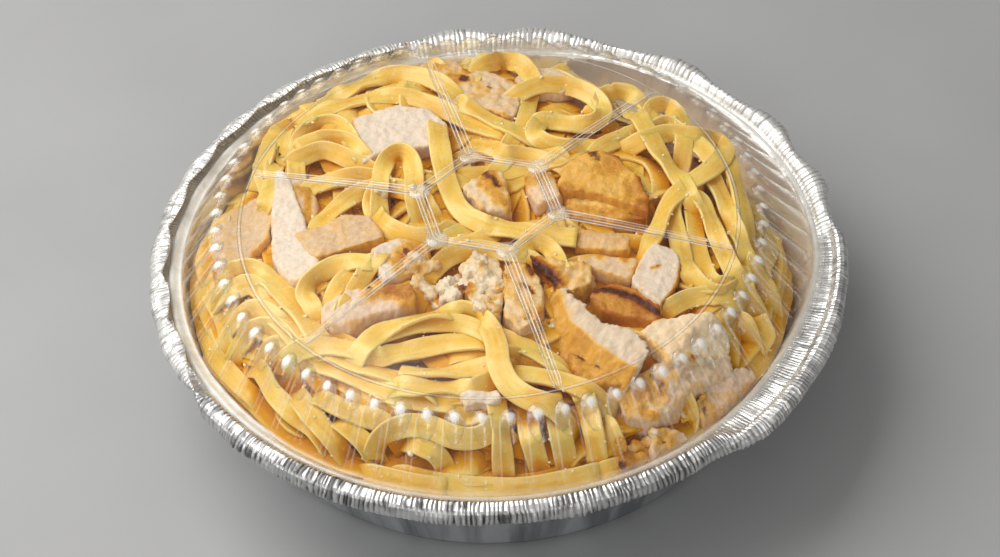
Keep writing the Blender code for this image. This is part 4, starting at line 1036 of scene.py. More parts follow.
        lines=()),
    "chicken_23": dict(top=((-7.7, -22.2), (3.2, -22.0), (4.0, -36.6), (1.7, -48.1), (-4.5, -45.3), (-8.7, -35.8)), z=61.9, slope=(0, 0.05), down=(0, 0, -10),
        tint=(230, 204, 162), brown=0.05, shred=0.55, faces=(),
        spots=((-6.8, -36.8, 61.8, 3.5, 0.7), (-2.1, -27.7, 62.3, 2.5, 0.45), (0.1, -40.5, 61.6, 3, 0.5)),
        chars=((-3.2, -46.1, 61.3, 1.2, 0.5),),
        lines=()),
    "chicken_24": dict(top=((4.1, -25.7), (12.7, -26.2), (16.9, -38.0), (14.8, -49.2), (8.4, -53.6), (3.6, -47.7)), z=62.3, slope=(0, 0.08), down=(0, 0, -11),
        tint=(240, 208, 160), brown=0.16, shred=0.4, faces=(),
        spots=((7.5, -28.4, 63.2, 4, 0.5), (10.4, -41.7, 62.2, 4, 0.45), (6.5, -37.4, 62.5, 5, 0.4), (13.7, -46.7, 61.8, 4, 0.6)),
        chars=(),
        lines=((0.75, 0.9, True, ((9.4, -20.9, 63.8), (11.4, -26.1, 63.4), (13.1, -31.2, 63.0))), (0.8, 0.5, True, ((9.8, -35.1, 62.7), (11.9, -36.9, 62.6), (13.1, -39.0, 62.4))), (0.5, 0.6, True, ((3.0, -28.1, 63.3), (5.4, -32.4, 62.9))))),
    "chicken_25": dict(top=((-89.4, 16.9), (-76.1, 19.1), (-71.8, 9.4), (-72.4, -0.9), (-80.1, -10.8), (-89.9, -6.7), (-93.3, 7.0)), z=53.0, slope=(0.35, 0), down=(0, 0, -10),
        tint=(222, 190, 152), brown=0.15, shred=0.3, faces=(),
        spots=((-87.1, 14.5, 51.2, 5, 0.3),),
        chars=(),
        lines=()),
    "chicken_26": dict(top=((-11.4, -75.1), (-7.7, -73.9), (-2.8, -74.8), (1.1, -74.0), (2.3, -77.2), (-0.6, -79.8), (-5.4, -79.2), (-9.1, -80.4)), z=57.5, slope=(0, 0.2), down=(0, 0, -8),
        tint=(240, 224, 206), brown=0.05, shred=0.3, faces=(),
        spots=(),
        chars=(),
        lines=()),
    "chicken_27": dict(top=((-15.6, -30.9), (-9.2, -30.4), (-9.1, -38.5), (-17.0, -38.1)), z=60.5, slope=(0, 0.1), down=(0, 0, -8),
        tint=(240, 224, 206), brown=0.03, shred=0.6, faces=(),
        spots=(),
        chars=(),
        lines=()),
}


def inside(poly, x, y):
    hit = np.zeros(np.shape(x), bool)
    n = len(poly)
    for k in range(n):
        x1, y1 = poly[k]
        x2, y2 = poly[(k + 1) % n]
        cross = ((y1 > y) != (y2 > y)) & (x < (x2 - x1) * (y - y1) / (y2 - y1 + 1e-12) + x1)
        hit ^= cross
    return hit


def grow_poly(poly, by):
    p = np.array(poly, float)
    c = p.mean(0)
    d = p - c
    ln = np.linalg.norm(d, axis=1)[:, None]
    return c + d * (1.0 + by / ln)


MEAT_TOP = np.full((SIDE, SIDE), -1.0)
CEILING = HEAP + 0.6
CLEAR = np.zeros((SIDE, SIDE), bool)
for key, piece in MEAT.items():
    p = np.array(piece["top"])
    c = p.mean(0)
    sx, sy = piece["slope"]
    plane = piece["z"] + sx * (GX - c[0]) + sy * (GY - c[1])
    m = inside(p, GX, GY)
    MEAT_TOP[m] = np.maximum(MEAT_TOP[m], plane[m])
    m = inside(grow_poly(p, 2.5), GX, GY)
    CEILING[m] = np.minimum(CEILING[m], plane[m] - 3.6)
    if key in ("chicken_20", "chicken_21", "chicken_22"):
        CLEAR |= inside(grow_poly(p, 1.0), GX, GY)
    m = inside(grow_poly(p, 6.0), GX, GY)
    CEILING[m] = np.minimum(CEILING[m], plane[m] - 2.0)


# ------------------------------------------------------------------ strands
STRANDS = (
    (58.5, 7, "", ((-75.2, 35.2), (-72.6, 46.9), (-67.1, 55.4), (-58.9, 61.8), (-48.5, 67.6), (-38.0, 73.4), (-27.7, 75.5), (-17.4, 71.5), (-11.2, 64.6))),
    (57.5, 6.6, "", ((-57.0, 66.6), (-47.3, 74.7), (-36.7, 81.7), (-26.7, 83.8), (-18.1, 80.5))),
    (59.5, 6.6, "", ((-61.9, 50.8), (-55.5, 56.7), (-46.8, 59.8), (-36.4, 62.4), (-27.6, 61.8), (-18.2, 57.4), (-11.3, 51.7), (-3.5, 44.9), (5.0, 41.2))),
    (58.5, 6.4, "", ((-64.6, 28.5), (-64.7, 38.6), (-61.9, 46.7), (-56.5, 50.5), (-50.9, 49.6), (-46.6, 42.6), (-44.4, 33.8))),
    (57.5, 6.6, "", ((-62.5, 40.6), (-55.3, 43.8), (-47.3, 41.7), (-42.4, 34.7))),
    (56.5, 6.6, "", ((-63.7, 35.7), (-55.3, 39.2), (-46.6, 33.6), (-39.0, 27.0))),
    (55.5, 6.6, "", ((-68.4, 63.2), (-74.4, 56.2), (-76.6, 44.3), (-76.7, 31.5), (-74.1, 20.4))),
    (56.5, 6.4, "", ((-69.4, 47.9), (-71.0, 37.7), (-72.9, 26.2), (-74.4, 15.4))),
    (58.5, 6.2, "", ((-57.6, 19.1), (-51.2, 21.7), (-42.8, 23.1), (-36.1, 20.7))),
    (57.5, 6.6, "", ((-3.2, 73.9), (1.2, 80.3), (7.3, 83.2), (13.3, 80.0), (16.9, 72.6))),
    (56.5, 6.4, "", ((-18.8, 87.3), (-9.8, 89.0), (-0.9, 86.1))),
    (56.5, 6.2, "", ((16.2, 62.4), (14.8, 54.5), (12.7, 46.2), (9.1, 40.2))),
    (55.5, 6.2, "", ((27.5, 78.7), (34.3, 71.6), (41.0, 65.7))),
    (57.5, 6.2, "", ((-2.7, 36.8), (6.4, 33.1), (16.5, 29.4), (24.8, 25.4))),
    (58.5, 6.4, "", ((-7.4, 58.4), (0.1, 50.5), (7.9, 44.3), (16.9, 37.0), (23.7, 30.4))),
    (57.5, 6.6, "", ((19.8, 48.8), (16.8, 43.2), (20.3, 36.8), (28.7, 33.7), (39.0, 35.6), (49.0, 40.6))),
    (58.5, 6.6, "", ((13.4, 62.9), (21.7, 66.7), (31.0, 64.5), (38.4, 58.6), (41.0, 50.5), (36.9, 45.0), (28.6, 45.0), (21.1, 47.0))),
    (56.5, 6.4, "", ((40.6, 59.2), (45.0, 63.2), (50.6, 62.3), (55.0, 56.1))),
    (58.5, 6.4, "", ((40.6, 33.4), (47.7, 37.0), (54.9, 41.2))),
    (56.5, 6.2, "", ((79.2, -20.1), (80.4, -29.3), (81.3, -38.7), (84.7, -47.2))),
    (57.5, 6.2, "", ((81.6, 24.3), (82.9, 14.2), (83.7, 3.5), (84.5, -7.5))),
    (58.5, 6.2, "", ((56.5, 44.2), (58.1, 51.5), (62.4, 53.3), (66.2, 48.8), (67.9, 41.4), (67.6, 34.2))),
    (57.5, 6.4, "", ((58.7, 42.1), (63.0, 43.9), (66.7, 38.5), (72.9, 31.9), (76.3, 24.6))),
    (58.5, 6, "", ((67.2, -2.8), (67.2, -12.2), (67.6, -21.4), (68.8, -29.2), (71.4, -34.7), (75.2, -35.0))),
    (58.5, 6.2, "", ((75.2, 14.6), (77.6, 5.7), (79.5, -4.0), (81.3, -14.4), (82.8, -24.6))),
    (57.5, 6.4, "", ((58.1, -41.8), (62.7, -39.4), (69.8, -38.5), (76.8, -41.2), (82.5, -46.7))),
    (60.5, 6.2, "", ((67.0, 6.2), (70.2, 2.1), (72.1, -5.6), (73.5, -14.1), (75.2, -22.5), (77.2, -30.8), (80.1, -39.0))),
    (59.5, 6.4, "", ((62.3, 5.6), (60.3, -1.9), (61.2, -13.3), (61.9, -23.4), (64.0, -31.7), (67.9, -38.1), (73.4, -40.2), (78.0, -37.9))),
    (61.5, 6.8, "", ((54.1, 32.2), (62.1, 34.8), (71.2, 33.2), (78.1, 31.2), (80.5, 24.9), (76.4, 17.7), (70.5, 12.2), (64.3, 6.7), (59.0, -0.6), (55.4, -9.4), (51.7, -18.0))),
    (61, 6.8, "", ((53.3, 43.7), (56.0, 34.2), (58.6, 24.9), (61.9, 16.7), (65.3, 9.6), (66.7, 3.7))),
    (60.5, 6.2, "", ((-30.7, -8.6), (-23.2, -11.9), (-15.4, -11.4), (-8.9, -8.1))),
    (59.5, 6.4, "", ((-54.9, 0.5), (-49.8, 7.3), (-44.3, 12.8), (-36.6, 15.7), (-28.6, 14.7), (-22.6, 10.9), (-19.9, 5.0))),
    (60.5, 6.8, "", ((-36.5, 14.6), (-38.4, 7.5), (-36.4, -0.3), (-30.7, -6.3), (-24.2, -10.0), (-16.7, -9.5), (-12.1, -6.1))),
    (62.5, 6.4, "", ((-36.0, 5.2), (-35.7, 15.4), (-34.1, 24.7), (-30.4, 30.0), (-26.4, 28.2), (-24.4, 19.6), (-24.4, 8.8))),
    (62.5, 7, "e", ((-16.4, 41.3), (-15.5, 31.0), (-14.3, 19.9), (-12.4, 10.0), (-9.6, 1.2), (-4.8, -4.8), (2.9, -9.0), (12.3, -11.5), (21.6, -13.9), (28.3, -15.2))),
    (60.5, 6.2, "", ((-18.8, -25.9), (-13.6, -19.8), (-6.4, -16.6), (2.6, -18.1), (11.2, -21.4))),
    (61.5, 5.8, "", ((10.4, -18.7), (14.4, -15.2), (18.5, -17.3), (21.1, -23.0), (22.8, -28.5))),
    (53.5, 6.4, "d", ((-72.6, -55.3), (-68.9, -48.3), (-62.4, -51.7), (-57.4, -60.4))),
    (51.5, 6.4, "d", ((-91.9, -38.6), (-88.0, -49.6), (-82.0, -59.7), (-76.0, -67.1))),
    (52.5, 6.4, "d", ((-80.1, -46.7), (-76.7, -40.4), (-71.0, -38.6), (-65.9, -45.4), (-64.0, -54.9))),
    (53.5, 6.4, "d", ((-90.2, -26.4), (-86.4, -35.5), (-84.5, -46.1), (-85.1, -55.8))),
    (55.5, 6.6, "d", ((-81.5, -39.5), (-75.7, -34.1), (-70.1, -37.5), (-64.7, -44.8), (-59.7, -52.8))),
    (57.5, 7, "", ((-84.4, -28.0), (-77.6, -24.8), (-71.5, -30.5), (-66.1, -37.9), (-60.7, -46.0), (-55.4, -53.2))),
    (58.5, 7.8, "", ((-85.7, -27.1), (-82.9, -20.0), (-77.1, -19.5), (-71.0, -24.8), (-64.9, -32.8), (-59.5, -41.9), (-54.8, -50.7))),
    (59.5, 6, "", ((-42.6, -23.4), (-47.1, -26.8), (-49.8, -32.0), (-51.3, -37.2))),
    (59.5, 6, "", ((-36.3, -17.5), (-40.1, -23.6), (-42.8, -30.6), (-45.0, -35.8))),
    (60.5, 6.4, "", ((-38.1, -20.2), (-44.6, -19.8), (-51.6, -22.1), (-57.2, -26.7), (-59.3, -32.8), (-56.9, -38.7))),
    (50.5, 6.6, "", ((-60.5, -69.1), (-54.0, -79.7), (-46.2, -90.0), (-38.5, -98.2))),
    (51.5, 6.6, "", ((-72.7, -57.7), (-68.2, -67.5), (-61.7, -76.0), (-53.9, -82.5))),
    (51.5, 6.4, "", ((-46.3, -80.9), (-41.0, -87.2), (-35.5, -93.4), (-29.4, -99.5))),
    (53.5, 6.2, "", ((-23.3, -91.8), (-17.3, -96.1), (-14.4, -102.0), (-15.1, -108.8))),
    (52.5, 6.6, "", ((-52.5, -71.3), (-44.7, -76.7), (-36.1, -80.4))),
    (52.5, 6.4, "", ((-31.0, -70.5), (-23.3, -73.0), (-14.7, -74.3))),
    (56.5, 6.4, "", ((-54.7, -59.1), (-46.2, -63.7), (-37.8, -69.2), (-29.8, -75.3))),
    (57.5, 6.8, "", ((-51.0, -56.0), (-44.0, -60.6), (-35.9, -65.2), (-28.5, -68.9), (-19.9, -74.3))),
    (57.5, 6.6, "", ((-27.6, -71.4), (-16.9, -72.9), (-6.2, -73.1), (0.0, -70.6))),
    (55.5, 6.4, "", ((3.4, -58.6), (11.1, -61.1), (18.6, -66.6))),
    (55.5, 6.4, "", ((3.0, -51.4), (10.7, -56.1), (17.9, -62.4))),
    (57.5, 6.6, "", ((3.5, -67.5), (10.8, -69.2), (19.3, -71.7), (26.4, -75.4))),
    (56.5, 6.2, "", ((-12.1, -59.0), (-4.3, -56.9), (1.9, -58.2))),
    (49.5, 6, "", ((57.0, -70.9), (58.3, -76.3), (59.6, -82.0), (60.3, -87.6), (59.2, -93.1))),
    (46.5, 6.2, "d", ((61.9, -84.8), (69.0, -81.6), (77.5, -76.8))),
    (53.5, 6.2, "d", ((84.3, -46.5), (85.8, -55.2), (85.3, -64.5), (81.9, -72.6))),
    (53.5, 6.2, "d", ((79.4, -48.4), (81.8, -57.1), (81.5, -65.5))),
    (53.5, 6.2, "d", ((83.5, -20.6), (87.8, -31.3), (89.6, -42.5), (89.2, -53.3))),
    (53.5, 7, "", ((-37.6, -104.5), (-38.3, -96.0), (-35.4, -88.4), (-28.7, -84.0), (-20.2, -85.3), (-11.8, -89.7), (-4.6, -89.3), (1.0, -83.3))),
    (50.5, 6.6, "", ((34.2, -86.6), (36.0, -96.5), (36.5, -105.4))),
    (51.5, 6.6, "", ((27.4, -74.2), (28.9, -85.2), (30.0, -95.9), (30.0, -105.9))),
    (52.5, 6.8, "", ((17.2, -76.1), (18.5, -85.5), (20.2, -94.6), (21.8, -103.2))),
    (52.5, 6.6, "", ((9.7, -79.7), (9.9, -88.9), (12.0, -96.9), (14.6, -104.7))),
    (51.5, 6.6, "", ((0.0, -73.5), (1.0, -83.6), (1.3, -93.5), (1.8, -104.3))),
    (41.8, 6.8, "", ((-28.5, -94.0), (-17.9, -97.7), (-5.9, -99.9), (6.2, -100.6), (18.3, -99.7), (28.1, -97.1))),
    (42, 6.4, "", ((-45.3, -90.1), (-36.1, -94.5), (-27.0, -98.1), (-18.0, -99.8))),
    (42, 6.4, "", ((18.2, -101.0), (27.4, -99.6), (35.4, -96.9))),
    (58.5, 6.8, "s", ((-29.1, -66.1), (-20.5, -67.4), (-10.6, -67.2), (-0.7, -65.7))),
    (58.5, 6.6, "", ((-60.2, -55.5), (-53.4, -54.2), (-44.7, -56.4), (-35.3, -59.5), (-25.4, -57.6), (-15.1, -55.6), (-4.8, -55.4))),
    (60.5, 6.2, "", ((-37.7, -54.9), (-29.0, -50.7), (-19.0, -48.7), (-9.6, -49.3), (-2.2, -54.0))),
    (62, 7, "", ((-40.0, -58.2), (-35.1, -53.0), (-27.3, -48.8), (-17.3, -45.9), (-8.2, -45.2), (-2.1, -50.3), (0.8, -59.4), (1.4, -68.1), (4.2, -76.4), (9.7, -82.4), (15.6, -85.1))),
)

EYE = np.array([2.878, -496.348, 535.911])     # the viewpoint, which the traced strands keep their line of sight to


def along_sight(xy, z_from, z_to):
    """Slide points along their line to the viewpoint so that they reach another height."""
    p = np.column_stack([xy, np.broadcast_to(z_from, len(xy))])
    f = ((z_to - z_from) / (EYE[2] - z_from))
    return (p + (EYE - p) * np.reshape(f, (-1, 1)))[:, :2]


def curve_through(points, step):
    """Catmull-Rom curve through points (n x d), read off at an even step."""
    p = np.asarray(points, float)
    if len(p) == 2:
        p = np.vstack([p[0], (p[0] + p[1]) / 2, p[1]])
    p = np.vstack([2 * p[0] - p[1], p, 2 * p[-1] - p[-2]])
    out = []
    for k in range(1, len(p) - 2):
        t = np.linspace(0, 1, 20, endpoint=False)[:, None]
        a, b, c, d = p[k - 1], p[k], p[k + 1], p[k + 2]
        out.append(0.5 * ((2 * b) + (c - a) * t + (2 * a - 5 * b + 4 * c - d) * t ** 2 + (3 * b - a - 3 * c + d) * t ** 3))
    out.append(p[-2][None])
    q = np.vstack(out)
    s = np.concatenate([[0], np.cumsum(np.linalg.norm(np.diff(q, axis=0), axis=1))])
    n = max(4, int(round(s[-1] / step)) + 1)
    at = np.linspace(0, s[-1], n)
    return np.stack([np.interp(at, s, q[:, k]) for k in range(q.shape[1])], 1)


def smooth_line(v, sigma, step):
    k = max(1, int(3 * sigma / step))
    w = np.exp(-0.5 * (np.arange(-k, k + 1) * step / sigma) ** 2)
    w /= w.sum()
    pad = np.concatenate([np.full(k, v[0]), v, np.full(k, v[-1])])
    return np.convolve(pad, w, mode="valid")


SECTION = np.array(((-0.5, -0.05), (-0.492, 0.30), (-0.465, 0.47), (-0.41, 0.5), (0.0, 0.44), (0.41, 0.5), (0.465, 0.47),
                    (0.492, 0.30), (0.5, -0.05), (0.455, -0.5), (0.0, -0.46), (-0.455, -0.5)))
PLAIN = np.array(((-0.5, 0.0), (-0.47, 0.46), (-0.40, 0.5), (0.40, 0.5), (0.47, 0.46), (0.5, 0.0), (0.46, -0.5), (-0.46, -0.5)))


class Ribbons:
    """Many strands gathered into one mesh."""

    def __init__(self, section):
        self.section = section
        self.v, self.tint, self.deep, self.lane = [], [], [], []

    def add(self, p, side, up, width, thick, tint, deep, cup=0.2):
        n = len(p)
        w = np.broadcast_to(width, n)
        t = np.broadcast_to(thick, n)
        u = self.section[:, 0][None] * w[:, None]
        h = self.section[:, 1][None] * t[:, None] + cup * (1.0 - (2 * self.section[:, 0][None]) ** 2)
        self.v.append(p[:, None] + side[:, None] * u[:, :, None] + up[:, None] * h[:, :, None])
        self.tint.append(tint)
        self.deep.append(np.array(np.broadcast_to(deep, n), float))
        s = np.concatenate([[0.0], np.cumsum(np.linalg.norm(np.diff(p, axis=0), axis=1))])
        self.lane.append(np.stack([u, np.broadcast_to(s[:, None] * 0.1, u.shape), np.full(u.shape, 3.7 * len(self.v))], 2))

    def drop_buried(self, grid, depth):
        """Keep only the stretches of each strand that come near the top of the heap."""
        v_new, tint_new, deep_new, lane_new = [], [], [], []
        for v, tone, low, lane in zip(self.v, self.tint, self.deep, self.lane):
            near = (v[..., 2] > look(grid, v[..., 0], v[..., 1]) - depth).any(1)
            for _ in range(3):
                near = near | np.roll(near, 1) | np.roll(near, -1)
            at = 0
            while at < len(near):
                if not near[at]:
                    at += 1
                    continue
                end = at
                while end < len(near) and near[end]:
                    end += 1
                if end - at >= 4:
                    v_new.append(v[at:end])
                    tint_new.append(tone)
                    deep_new.append(low[at:end])
                    lane_new.append(lane[at:end])
                at = end
        self.v, self.tint, self.deep, self.lane = v_new, tint_new, deep_new, lane_new
        return len(v_new)

    def make(self, name, mat, around):
        """The joined mesh; the per-point depth value, how far a point lies below the heap's top, is painted as shade by
        the pasta material.
        """
        quads, tris, tint, deep, count = [], [], [], [], 0
        m = len(self.section)
        for v, tone, low in zip(self.v, self.tint, self.deep):
            n = len(v)
            idx = count + np.arange(n * m).reshape(n, m)
            a, b = idx[:-1], idx[1:]
            quads.append(np.stack([a, np.roll(a, -1, 1), np.roll(b, -1, 1), b], 2).reshape(-1, 4))
            for row, flip in ((idx[0], True), (idx[-1], False)):
                for j in range(1, m - 1):
                    tri = (row[0], row[j], row[j + 1])
                    tris.append(tri[::-1] if flip else tri)
            tint.append(np.full(n * m, tone))
            deep.append(np.repeat(low, m))
            count += n * m
        verts = np.concatenate([v.reshape(-1, 3) for v in self.v])
        verts, quads, tris = outward(verts, np.concatenate(quads), np.array(tris))
        # painted shade: points below the blurred top of the heap around them get a higher depth value, painted darker
        below = look(around, verts[:, 0], verts[:, 1]) - verts[:, 2]
        deep = np.clip(np.concatenate(deep) * 0.5 + 0.95 * smooth01((below + 0.9) / 5.4), 0.0, 1.0)
        # painted highlight: points near the sides of the section are marked to be painted paler
        edge = np.tile(smooth01((np.abs(self.section[:, 0]) - 0.33) / 0.16), len(verts) // m)
        ob = mesh_object(name, verts, quads, tris, mat,
                         floats={"tint": np.concatenate(tint), "deep": deep, "edge": edge})
        lane = (np.concatenate([a.reshape(-1, 3) for a in self.lane]) * MM).astype(np.float32)
        ob.data.attributes.new("lane", "FLOAT_VECTOR", "POINT").data.foreach_set("vector", lane.ravel())
        return ob


def soften(grid, turns=34):
    """A blurred copy of a height grid."""
    g = grid.copy()
    for _ in range(turns):
        for axis in (0, 1):
            g = (np.roll(g, 1, axis) + 2.0 * g + np.roll(g, -1, axis)) / 4.0
    return g


def lay(xy, step, width, thick, z_spec, face, rnd, ends, drape, lean_cap=72.0, z_line=None):
    """Lay one strand on the heap: heights, banking and frames along a plan-view path."""
    n = len(xy)
    drop = np.zeros(n)
    s = np.arange(n) * step
    for shown, from_end in ((ends[0], s), (ends[1], s[::-1])):
        if not shown:
            drop = np.maximum(drop, 6.5 * smooth01(1.0 - from_end / 11.0))
    spec = np.full(n, z_spec)
    z = np.full(n, z_spec)
    base = xy
    pos = xy
    roll = np.zeros(n)
    for turn in range(6):
        pos = along_sight(base, z_spec, z)
        tg = np.gradient(pos, axis=0)
        ln = np.maximum(np.linalg.norm(tg, axis=1), 1e-6)
        tg = tg / ln[:, None]
        side = np.stack([-tg[:, 1], tg[:, 0]], 1)
        head = np.unwrap(np.arctan2(tg[:, 1], tg[:, 0]))
        kappa = smooth_line(np.gradient(head) / step, 3.0, step)
        bank = np.radians(np.clip((np.abs(kappa) * width - 0.12) * 150.0, 0.0, lean_cap))
        if face == "view":
            bank = bank * np.tanh(tg[:, 0] * 2.2)
        elif face == "flat":
            bank = bank * 0.25
        else:
            bank = bank * face
        q = 0.42 * width
        hl = look(TOPS, *(pos + side * q).T)
        hr = look(TOPS, *(pos - side * q).T)
        hc = look(TOPS, *pos.T)
        auto = np.clip(np.arctan2(hl - hr, 2 * q), -0.85, 0.85)
        auto = auto * (1.0 - np.clip(np.abs(bank) / 1.0, 0, 1))
        roll = smooth_line(bank + auto, 3.2, step)
        foot = np.maximum((hl + hr) / 2, hc * 0.6 + 0.4 * np.minimum(hl, hr))
        need = foot + 0.5 * width * np.abs(np.sin(bank)) + 0.5 * thick + 0.15
        need = np.maximum(smooth_line(need, 3.6, step), need - 0.9)
        if not drape:
            need = np.maximum(need, spec - 1.2)
        r = np.hypot(pos[:, 0], pos[:, 1])
        roof = lid_limit(r + 1.0) - 0.5 * width * np.abs(np.sin(roll)) - 0.6 * thick - 0.3
        need = np.minimum(need, roof)
        z = 0.45 * z + 0.55 * need
    z = smooth_line(z, 2.4, step)
    z = np.minimum(z, roof) - drop
    p = np.column_stack([pos, z])
    tg = np.gradient(p, axis=0)
    tg /= np.maximum(np.linalg.norm(tg, axis=1), 1e-6)[:, None]
    side = np.column_stack([-tg[:, 1], tg[:, 0], np.zeros(n)])
    side /= np.maximum(np.linalg.norm(side, axis=1), 1e-6)[:, None]
    up = np.cross(tg, side)
    ruffle = np.radians(5.0) * np.sin(s / rnd.uniform(7, 12) + rnd.uniform(0, 6)) + np.radians(3.0) * np.sin(s / 3.7 + rnd.uniform(0, 6))
    ang = roll + ruffle
    side2 = side * np.cos(ang)[:, None] + up * np.sin(ang)[:, None]
    up2 = -side * np.sin(ang)[:, None] + up * np.cos(ang)[:, None]
    return p, side2, up2


def cut_at(line, limit):
    """Cut off the ends of a path, at most 13 points each, that run out past a radius."""
    past = np.hypot(line[:, 0], line[:, 1]) > limit
    first, last = 0, len(line)
    while first < 13 and past[first]:
        first += 1
    while last > len(line) - 13 and past[last - 1]:
        last -= 1
    return line[first:last]


def keep_in(p, side, width):
    """Pull a strand off the pan wall where it comes too near."""
    reach = np.hypot(p[:, 0], p[:, 1])
    half = np.abs((side[:, :2] * p[:, :2]).sum(1) / np.maximum(reach, 1e-6)) * width / 2
    wall = np.where(p[:, 2] < 42.5, pan_inner_r(np.clip(p[:, 2], 1, WALL_Z)) - 0.9, 102.3) - half
    f = np.minimum(1.0, wall / np.maximum(reach, 1e-6))
    p = p.copy()
    p[:, :2] *= f[:, None]
    return p


def stamp(p, side, up, width, thick, step):
    """Raise the height grid to the top of a strand."""
    for u in np.linspace(-0.46, 0.46, 11):
        for half in (0.0, 0.5):
            q = p + side * (u * np.reshape(width, (-1, 1)) if np.ndim(width) else u * width) + up * (thick * 0.5 + 0.1)
            if half:
                q = (q[:-1] + q[1:]) / 2
            i, j = cell(q[:, 0], q[:, 1])
            np.maximum.at(TOPS, (i, j), q[:, 2])


def extend(xy, length, rnd, bend=0.05):
    """Run the path on past both ends so that the strand dives under its neighbours."""
    xy = np.asarray(xy, float)
    outs = []
    for a, b in ((xy[1], xy[0]), (xy[-2], xy[-1])):
        d = (b - a) / np.linalg.norm(b - a)
        ang = math.atan2(d[1], d[0])
        pts = []
        pos = b.copy()
        k = rnd.uniform(-bend, bend)
        for _ in range(3):
            ang += k * length / 3
            pos = pos + length / 3 * np.array([math.cos(ang), math.sin(ang)])
            pts.append(pos.copy())
        outs.append(pts)
    return xy, outs


def under_strands():
    """The strands that fill the heap under and between the traced ones."""
    rnd = random.Random(4211)
    group = Ribbons(PLAIN)
    step = 1.9
    made = 0
    tries = 0
    ring = random.Random(515)
    for lap, (rad, start) in enumerate(((98.5, 100), (98.8, 190), (98.4, 272), (98.6, 338), (94.5, 130), (94.8, 215), (94.2, 300),
                                        (91.0, 95), (91.5, 170), (90.5, 250), (91.0, 325), (97.5, 232), (97.8, 310), (97.0, 160),
                                        (98.3, 196), (98.5, 246), (98.2, 292))):
        span = ring.uniform(55, 80)
        n = int(math.radians(span) * rad / step)
        t = np.linspace(math.radians(start), math.radians(start + span), n)
        rr = rad + 1.2 * np.sin(t * ring.uniform(7, 12) + ring.uniform(0, 6)) - (2.5 if 10 < lap < 14 else 0.0)
        xy = np.stack([rr * np.cos(t), rr * np.sin(t)], 1)
        width, thick = ring.uniform(6.6, 7.8), ring.uniform(1.4, 1.7)
        z0 = float(np.median(look(TOPS, xy[:, 0], xy[:, 1]))) + 1.0
        if lap > 13:
            z0 = max(z0, 40.4)
        p, side, up = lay(xy, step, width, thick, z0, 0.15, ring, (False, False), lap < 14, 40.0)
        over = p[:, 2] + 0.5 * thick - look(CEILING, p[:, 0], p[:, 1])
        p[:, 2] -= np.clip(smooth_line(np.maximum(over, 0.0), 3.0, step), 0.0, 9.0)
        p = keep_in(p, side, width)
        # the rings along the wall get a fixed painted shade value
        group.add(p, side, up, width, thick, ring.random(), 0.35)
        stamp(p, side, up, width, thick, step)
    while made < 360 and tries < 3000:
        tries += 1
        rad = 98.0 * math.sqrt(rnd.random())
        ang = rnd.uniform(-math.pi, math.pi)
        if tries % 3 == 0:
            rad = rnd.uniform(72.0, 97.0)
        x, y = rad * math.cos(ang), rad * math.sin(ang)
        swirl = ang + math.pi / 2 if rad > 60 and rnd.random() < 0.62 else rnd.uniform(0, math.pi)
        head = swirl + rnd.uniform(-0.5, 0.5)
        length = rnd.uniform(45, 105)
        curl = rnd.choice((-1, 1)) * rnd.choice((0.004, 0.010, 0.018, 0.030, 0.05))
        if rad > 60 and rnd.random() < 0.6:
            curl = 1.0 / max(rad, 40) * (1 if math.cos(swirl - ang - math.pi / 2) > 0 else -1)
        k2 = rnd.uniform(-0.0006, 0.0006)
        n = int(length / step)
        s = (np.arange(n) - n / 2) * step
        h = head + curl * s + k2 * s * np.abs(s) + 0.25 * np.sin(s / 11.0 + rnd.uniform(0, 6))
        xy = np.cumsum(np.stack([np.cos(h), np.sin(h)], 1) * step, 0)
        xy = xy - xy[n // 2] + (x, y)
        r = np.hypot(xy[:, 0], xy[:, 1])
        if (r > 99.5).mean() > 0.15:
            continue
        xy = cut_at(xy, 100.0)
        xy = xy * np.minimum(1.0, 99.5 / np.hypot(xy[:, 0], xy[:, 1]))[:, None]
        n = len(xy)
        if n < 14:
            continue
        cap = look(CEILING, xy[:, 0], xy[:, 1])
        have = look(TOPS, xy[:, 0], xy[:, 1])
        room = cap - have
        if np.percentile(room, 35) < 2.3:
            continue
        width = rnd.uniform(6.6, 8.0)
        thick = rnd.uniform(1.2, 1.45)
        # start from the current height so that the sight line shift stays small
        z0 = float(np.median(have)) + 1.0
        face = rnd.choice((-0.55, 0.55, 0.2, -0.2))
        p, side, up = lay(xy, step, width, thick, z0, face, rnd, (False, False), True, 50.0)
        cap = look(CEILING, p[:, 0], p[:, 1])
        over = p[:, 2] + 0.5 * thick - cap
        if np.percentile(over, 75) > 0.9 or look(CLEAR, p[:, 0], p[:, 1]).any():
            continue
        p[:, 2] -= np.clip(smooth_line(np.maximum(over, 0.0), 3.0, step), 0.0, 6.0)
        p = keep_in(p, side, width)
        # painted shade value: the further below the heap top, the darker
        low = 1.0 - smooth01((p[:, 2] - 41.5) / 14.0)
        below = look(HEAP, p[:, 0], p[:, 1]) - p[:, 2]
        deep = 0.12 + 0.5 * smooth01(below / 8.0) * (1 - 0.5 * low)
        group.add(p, side, up, width, thick, rnd.random(), deep)
        stamp(p, side, up, width, thick, step)
        made += 1
    print("under strands", made, "of", tries)
    return group


